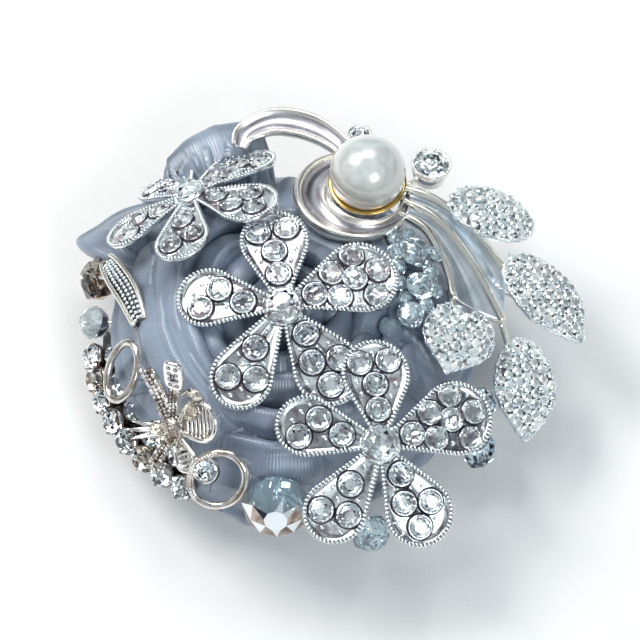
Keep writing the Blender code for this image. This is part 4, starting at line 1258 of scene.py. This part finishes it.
def filigree_bar():
    """Two smooth rails with a dark bed of round grains between them, narrowing to both ends."""
    middle = smooth_route(FILIGREE_BAR, 12)
    last = len(middle) - 1
    spread = [0.55 + 0.45 * math.sin(math.pi * i / last) ** 0.6 for i in range(last + 1)]
    bed = ((-1, -0.7), (-1, -0.1), (1, -0.1), (1, -0.7))
    piece = Shape().add(*bar(middle, bed, [FILIGREE_WIDTH * size for size in spread], FILIGREE_UP))
    across = [direction(middle, i).cross(FILIGREE_UP).normalized() for i in range(last + 1)]
    for side in (-1, 1):
        rail = []
        for point, aside, size in zip(middle, across, spread):
            rail.append(point + aside * side * FILIGREE_WIDTH * size + FILIGREE_UP * 0.1)
        piece.add(*tube(rail, 0.42, FILIGREE_UP, steps=10), 1)
    for i in range(2, last - 1, 2):
        for k in (-1, 0, 1):
            spot = middle[i] + across[i] * 0.85 * k * spread[i] + FILIGREE_UP * 0.05
            piece.add_grain(Matrix.Translation(spot + direction(middle, i) * 0.3 * (k % 2)), 0.38, 2)
    piece.build("railed_bar", [GAP_SHADE_DARK_METAL, CREAM_SILVER, SILVER], node="filigree_bar", slot="silver_plate")


def orchid():
    frame = seat(*ORCHID_SEAT)
    casting, grains = Shape(), Shape()
    striped_petal(casting, frame, *ORCHID_FANS[0])
    pad_arm(casting, grains, frame, *ORCHID_PAD)
    beaded_arm(casting, grains, frame, *ORCHID_COLUMNS[0])
    for heading, reach in ORCHID_SPIKES:
        spike(casting, frame, heading, reach)
    beaded_arm(casting, grains, frame, *ORCHID_COLUMNS[1])
    striped_petal(casting, frame, *ORCHID_FANS[1])
    casting.add(*revolve(((0.0, -2.0), (1.9, -1.8), (2.4, -0.3), (1.9, 0.3), (0.0, 0.45)), 24), matrix=frame)
    looks = [WARM_SILVER, BRIGHT_SILVER, GAP_SHADE_DARK_METAL]
    casting.build("orchid_plate", looks, node="orchid_casting", slot="silver_plate")
    grains.build("orchid_grains", [ORCHID_SILVER], slot="silver_plate")
    crystals = Shape()
    vertices, faces, _ = faceted_bead()
    for heading, reach, size in ORCHID_DROPS:
        place = frame @ turned(heading) @ shifted(reach, 0, 1.7) @ Matrix.Rotation(-0.25, 4, "Y")
        crystals.add(vertices, faces, 0, place @ Matrix.Diagonal((*size, 1.0)))
    crystals.build("orchid_drops", [GOLDEN_GLASS], smooth=False, node="orchid_crystal", slot="cut_crystal")
    open_ring("open_ring", "orchid_ring", (), *ORCHID_RING)
    loop_stone(open_ring("open_loop", "stone_loop", range(8, 30), *STONE_LOOP))
    filigree_bar()


# ---------------------------------------------------------------- rhinestone chain and beads
def rhinestone_chain():
    """The chain round the rim: linked cups with their stones, and a second row of smaller stones above it."""
    pitch = (CHAIN_TO - CHAIN_FROM) / (CHAIN_STONES - 1)
    radius = CHAIN_STONE_RADIUS
    frames = []
    for k in range(CHAIN_STONES):
        angle = CHAIN_FROM + pitch * k
        frames.append(seat(*polar(CHAIN_RADIUS, math.radians(angle), CHAIN_Z), CHAIN_LEAN, angle))
    link = ((-1, -0.35), (-1, 0.35), (1, 0.35), (1, -0.35))
    route = smooth_route([frame @ Vector((0, 0, -1.9)) for frame in frames], 4)
    cups = Shape().add(*bar(route, link, [1.5] * len(route)))
    profile = ((0, -1.9), (0.72, -1.9), (0.98, -0.2), (1.04, 0.4), (0.98, 0.5), (0.92, 0.3), (0, -1.7))
    for k, frame in enumerate(frames):
        cups.add(*revolve([(share * radius, z) for share, z in profile], 24), matrix=frame)
        for claw in range(4):
            spot = turned(45 + 90 * claw) @ shifted(0.98 * radius, 0, 0.95)
            cups.add_grain(frame @ spot, (0.34, 0.34, 0.51))
        place = frame @ shifted(0, 0, 0.8) @ Matrix.Rotation(0.7 * k, 4, "Z")
        foil = BROWN_FOIL if k % 4 == 1 else FOIL
        name, node = f"chain_brilliant_{k + 1}", f"rim_chain_stone_{k + 1}"
        cut_stone(name, node, scaled(place, 1.06 * radius, 1.15), foil)
    inner = Shape()
    row_radius, row_z, row_lean = INNER_ROW
    for k, (angle, size) in enumerate(INNER_STONES):
        frame = seat(*polar(row_radius, math.radians(angle), row_z), row_lean, angle)
        vertices, faces, _ = stone_collar(size)
        cups.add(vertices, faces, 0, frame)
        inner.add(*BRILLIANT, scaled(frame @ shifted(0, 0, 0.3) @ Matrix.Rotation(0.5 * k, 4, "Z"), size))
    inner.build("chain_inner_row", [CRYSTAL, FOIL], smooth=False, slot="cut_crystal")
    cups.build("chain_cups", [CHAIN_SILVER], node="rim_chain_strip", slot="silver_plate")


def faceted_bead(sides=9):
    """A cut glass bead of radius 1, with triangular facets in offset rows between two small tables:
    (vertices, faces, material slots), slot 1 being the mirrored underside."""
    # Radius and height of each row of corners, and its turn as a share of a facet.
    rows = (
        (0.25, -0.92, 0.0), (0.72, -0.60, 0.5), (1.0, -0.06, 0.0),
        (1.0, 0.06, 0.0), (0.74, 0.58, 0.5), (0.34, 0.90, 0.0),
    )
    vertices, faces, slots = [], [], []
    for radius, z, offset in rows:
        vertices += [polar(radius, angle, z) for angle in round_turn(sides, offset)]
    for row in range(len(rows) - 1):
        low, high = row * sides, (row + 1) * sides
        shift_low, shift_high = rows[row][2], rows[row + 1][2]
        for k in range(sides):
            n, p = (k + 1) % sides, (k - 1) % sides
            if shift_low == shift_high:
                faces.append((low + k, low + n, high + n, high + k))
            elif shift_high > shift_low:
                faces += [(low + k, low + n, high + k), (low + k, high + k, high + p)]
            else:
                faces += [(low + k, high + n, high + k), (low + k, low + n, high + n)]
        slots += [1 if row < 2 else 0] * (len(faces) - len(slots))
    faces.append(tuple(reversed(range(sides))))
    faces.append(tuple((len(rows) - 1) * sides + k for k in range(sides)))
    return vertices, faces, [*slots, 1, 0]


def lower_facets(vertices, faces, place):
    """Slots of a seated bead's facets: clear above, and brown and white mirrors in turn in its lower half,
    the brown ones a painted brown reflection.
    """
    # The lower half is measured along a fixed direction in the scene, which keeps the painted reflection on
    # one side whatever the bead's turn.
    up = Vector((0.15, 0.85, 0.5))
    heights = [(place @ Vector(v) - place.translation).dot(up) for v in vertices]
    lower = [sum(heights[i] for i in face) / len(face) < 0.0 for face in faces]
    return [(1, 2, 1)[k % 3] if low else 0 for k, low in enumerate(lower)]


def bead_wires():
    """The bowed wires that hold the beads at the rim."""
    wires = Shape()
    steps = 4
    for x, y, z, *_ in GLASS_BEADS[:RIM_BEADS]:
        bead, root = Vector((x, y, z)), Vector((0.72 * x, 0.72 * y, max(12.5, z + 1.5)))
        route = [bead.lerp(root, k / steps) + UP * 0.25 * k * (steps - k) / steps for k in range(steps + 1)]
        wires.add(*tube(route, 0.3))
    wires.build("bead_wires", [SILVER], slot="silver_plate")


def glass_beads():
    vertices, faces, foiled = faceted_bead()
    for number, (bead, look) in enumerate(zip(GLASS_BEADS, BEAD_LOOKS), 1):
        x, y, z, radius, flat, lean, toward = bead
        place = scaled(seat(x, y, z, lean, toward, 17 * number), radius, flat)
        slots = lower_facets(vertices, faces, place) if look == "blue_painted_reflection" else foiled
        piece = Shape().add(vertices, faces, slots, place)
        node = f"glass_bead_{number}"
        piece.build(f"cut_bead_{number}", BEAD_KINDS[look], smooth=False, node=node, slot="bead_glass")
    bead_wires()
    cluster = Shape()
    for number, (x, y, z, radius, lean, toward) in enumerate(CLUSTER_BEADS):
        place = scaled(seat(x, y, z, lean, toward, 40 * number), radius, 0.95)
        cluster.add(vertices, faces, foiled, place)
    cluster.build("cut_bead_cluster", [ICE_GLASS, FOIL], smooth=False, slot="bead_glass")


# ---------------------------------------------------------------- clip and felt
def node_box(node):
    """The lower and the upper corner of a CAD node's box, in millimetres."""
    return ([c / MM for c in corner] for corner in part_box(node))


def stitch(start, end):
    """One short stitch of thread that humps between two points."""
    start, end = Vector(start), Vector(end)
    steps = 6
    route = [start.lerp(end, k / steps) - UP * 0.22 * math.sin(math.pi * k / steps) for k in range(steps + 1)]
    return tube(route, 0.16, (end - start).cross(UP).normalized(), steps=6)


def worn_disc(radius, low, high):
    """(vertices, faces) of a thick disc with a rounded, uneven edge."""
    middle, half = (low + high) / 2, (high - low) / 2
    edge = [math.radians(turn) for turn in range(-75, 76, 25)]
    profile = [(0.0, low)]
    profile += [(radius * share, low) for share in (0.25, 0.5, 0.72, 0.86, 0.94)]
    profile += [(radius - 0.75 * (1 - math.cos(turn)), middle + half * math.sin(turn)) for turn in edge]
    profile += [(radius * share, high) for share in (0.94, 0.72, 0.4, 0.0)]
    vertices, faces = revolve(profile, 120)
    worn = []
    for x, y, z in vertices:
        fray = (0.22 * noise.noise(Vector((x * 0.5, y * 0.5, 2.0))) - 0.1) * (math.hypot(x, y) / radius) ** 6
        size = 1 + fray / radius
        worn.append((x * size, y * size, z + 0.07 * noise.noise(Vector((x * 0.3, y * 0.3, z)))))
    return worn, faces


def felt_disc():
    """The round felt base, with a ring of stitches on its underside."""
    corner, opposite = node_box("felt_base")
    radius, low = opposite[0], corner[2]
    disc = Shape().add(*worn_disc(radius, low, opposite[2]))
    count = 64
    for k in range(count):
        ends = [polar(radius - 1.6, 2 * math.pi * (k + share) / count, low + 0.02) for share in (0.0, 0.62)]
        disc.add(*stitch(*ends), 1)
    piece = disc.build("felt_disc", [FELT, THREAD], node="felt_base", slot="felt")


def strap_ring(point, out, low_x, high_x, half):
    """A section of the strap: across its outer face and back across its inner one, with rounded edges."""
    columns = 17
    ring = []
    for side in (1, -1):
        for k in range(columns):
            t = k / (columns - 1) if side == 1 else 1 - k / (columns - 1)
            x = low_x + (high_x - low_x) * t
            edge = min(t, 1 - t) * (high_x - low_x)
            thick = half * math.sqrt(min(1.0, 0.2 + edge / 0.5))
            fuzz = 0.04 * noise.noise(Vector((x * 0.9, point.y * 0.9, side)))
            ring.append(Vector((x, point.y, point.z)) + out * (side * thick * 0.98 + fuzz))
    return ring


def felt_loop():
    """The felt strap that holds the clip's plate against the base, with its two ends stitched down."""
    low, high = node_box("felt_strap")
    half = 0.5
    reach, inner = high[1], 4.8 + half
    top, bottom = high[2] - half, low[2] + half
    corner = 0.55
    path = [(-reach, top), (-inner - 2.4, top), (-inner - corner, top), (-inner, top - corner)]
    path += [(-inner, bottom + corner), (-inner + corner, bottom), (0.0, bottom)]
    path += [(-y, z) for y, z in reversed(path[:-1])]
    route = smooth_route([(0, y, z) for y, z in path], 5)
    rings = []
    for i, point in enumerate(route):
        along = direction(route, i)
        rings.append(strap_ring(point, Vector((0, -along.z, along.y)), low[0], high[0], half))
    strap = Shape().add(*loft(rings))
    for side in (-1, 1):
        y, z = side * (reach - 1.5), low[2] + 1.28
        for k in range(7):
            x = low[0] + 1.0 + (high[0] - low[0] - 2.0) * k / 6
            strap.add(*stitch((x - 0.5, y, z), (x + 0.5, y, z)), 1)
    piece = strap.build("felt_loop", [FELT, THREAD], node="felt_strap", slot="felt")


def spring_wire():
    """The torsion spring: a coil round the pin, a leg under the plate and a leg that reaches to the jaw."""
    pin_x, _, pin_z = HINGE
    wire, coil, turns, half_width = 0.3, 1.5, 2.5, 1.6
    steps = 90
    points = []
    for step in range(steps + 1):
        angle = math.radians(75) + 2 * math.pi * turns * step / steps
        y = -half_width + 2 * half_width * step / steps
        points.append(Vector((pin_x + coil * math.sin(angle), y, pin_z + coil * math.cos(angle))))
    plate_leg = Vector((pin_x + 9.0, -half_width, 7.4))
    jaw_leg = Vector((pin_x + 4.2, half_width, 3.4))
    lead = [plate_leg.lerp(points[0], t) for t in (0.0, 0.3, 0.6, 0.85)]
    tail = [points[-1].lerp(jaw_leg, t) for t in (0.15, 0.4, 0.7, 1.0)]
    piece = Shape().add(*tube([*lead, *points, *tail], wire, Vector((0, 1, 0)), steps=10))
    spring = piece.build("spring_wire", [NICKEL], node="clip_torsion_spring", slot="nickel_steel", body=None)
    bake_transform(spring)


def paint_frame_nodes(frame):
    """Materials for the CAD nodes that are shown as they are."""
    for name in ("clip_top_plate", "clip_lower_jaw", "clip_hinge_pin"):
        obj = frame["nodes"][name]
        obj.data.materials.clear()
        obj.data.materials.append(NICKEL)


# ---------------------------------------------------------------- stage
def add_area(name, place, size, power, colour):
    """A rectangular light that shines on the middle of the clip."""
    light = bpy.data.lights.new(name, "AREA")
    light.shape = "RECTANGLE"
    light.size, light.size_y = size
    light.energy = power
    light.color = colour
    obj = bpy.data.objects.new(name, light)
    obj.location = place
    obj.rotation_euler = (Vector((0, 0, 0.02)) - Vector(place)).to_track_quat("-Z", "Y").to_euler()
    bpy.context.scene.collection.objects.link(obj)


def add_world():
    """A bright room with a few dark patches, which the metal and the stones reflect."""
    world = bpy.data.worlds.new("studio")
    world.use_nodes = True
    bpy.context.scene.world = world
    nodes, links = world.node_tree.nodes, world.node_tree.links
    background = nodes["Background"]
    place = nodes.new("ShaderNodeTexCoord")
    cells = add_node(nodes, "ShaderNodeTexNoise", Scale=2.6, Detail=1.0)
    ramp = add_ramp(nodes, (0.05, 0.06, 0.09), (0.90, 0.98, 1.0), 0.44, 0.52)
    links.new(place.outputs["Generated"], cells.inputs["Vector"])
    links.new(cells.outputs["Fac"], ramp.inputs["Fac"])
    links.new(ramp.outputs["Color"], background.inputs["Color"])
    set_inputs(background, Strength=0.60)


def add_floor():
    mesh = bpy.data.meshes.new("floor")
    size = 3.0
    corners = [(-size, -size, 0), (size, -size, 0), (size, size, 0), (-size, size, 0)]
    mesh.from_pydata(corners, [], [(0, 1, 2, 3)])
    floor = bpy.data.objects.new("floor", mesh)
    bpy.context.scene.collection.objects.link(floor)
    material, nodes, links, shader = new_material("paper floor")
    noise_bump(nodes, links, shader, 900.0, 0.00002, 0.3)
    set_inputs(shader, Base_Color=(0.93, 0.93, 0.93, 1), Roughness=0.8)
    floor.data.materials.append(material)


def stage():
    add_world()
    add_area("key", (-0.30, 0.16, 0.48), (0.24, 0.24), 2.0, (1.0, 0.98, 0.95))
    add_area("fill", (0.22, -0.40, 0.42), (0.2, 0.2), 1.15, (0.90, 0.96, 1.0))
    add_area("top softbox", (0.02, 0.28, 0.53), (0.26, 0.22), 0.85, (1.0, 1.0, 1.0))
    add_floor()


def add_camera():
    data = bpy.data.cameras.new("camera")
    data.sensor_width = SENSOR_WIDTH
    data.lens = SENSOR_WIDTH * CAMERA_DISTANCE / CAMERA_WIDTH
    data.clip_end = 20.0
    camera = bpy.data.objects.new("camera", data)
    rise = math.radians(CAMERA_ELEVATION)
    back = Vector((0, -math.cos(rise), math.sin(rise)))
    camera.location = (CAMERA_TARGET + back * CAMERA_DISTANCE) * MM
    camera.rotation_euler = (-back).to_track_quat("-Z", "Y").to_euler()
    bpy.context.scene.collection.objects.link(camera)
    bpy.context.scene.camera = camera
    bpy.context.scene.view_settings.view_transform = "Standard"


def main():
    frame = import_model()
    paint_frame_nodes(frame)
    satin_rose()
    five_petal_castings()
    pearl_brooch()
    pave_leaves()
    orchid()
    rhinestone_chain()
    glass_beads()
    felt_disc()
    felt_loop()
    spring_wire()
    stage()
    add_camera()


main()
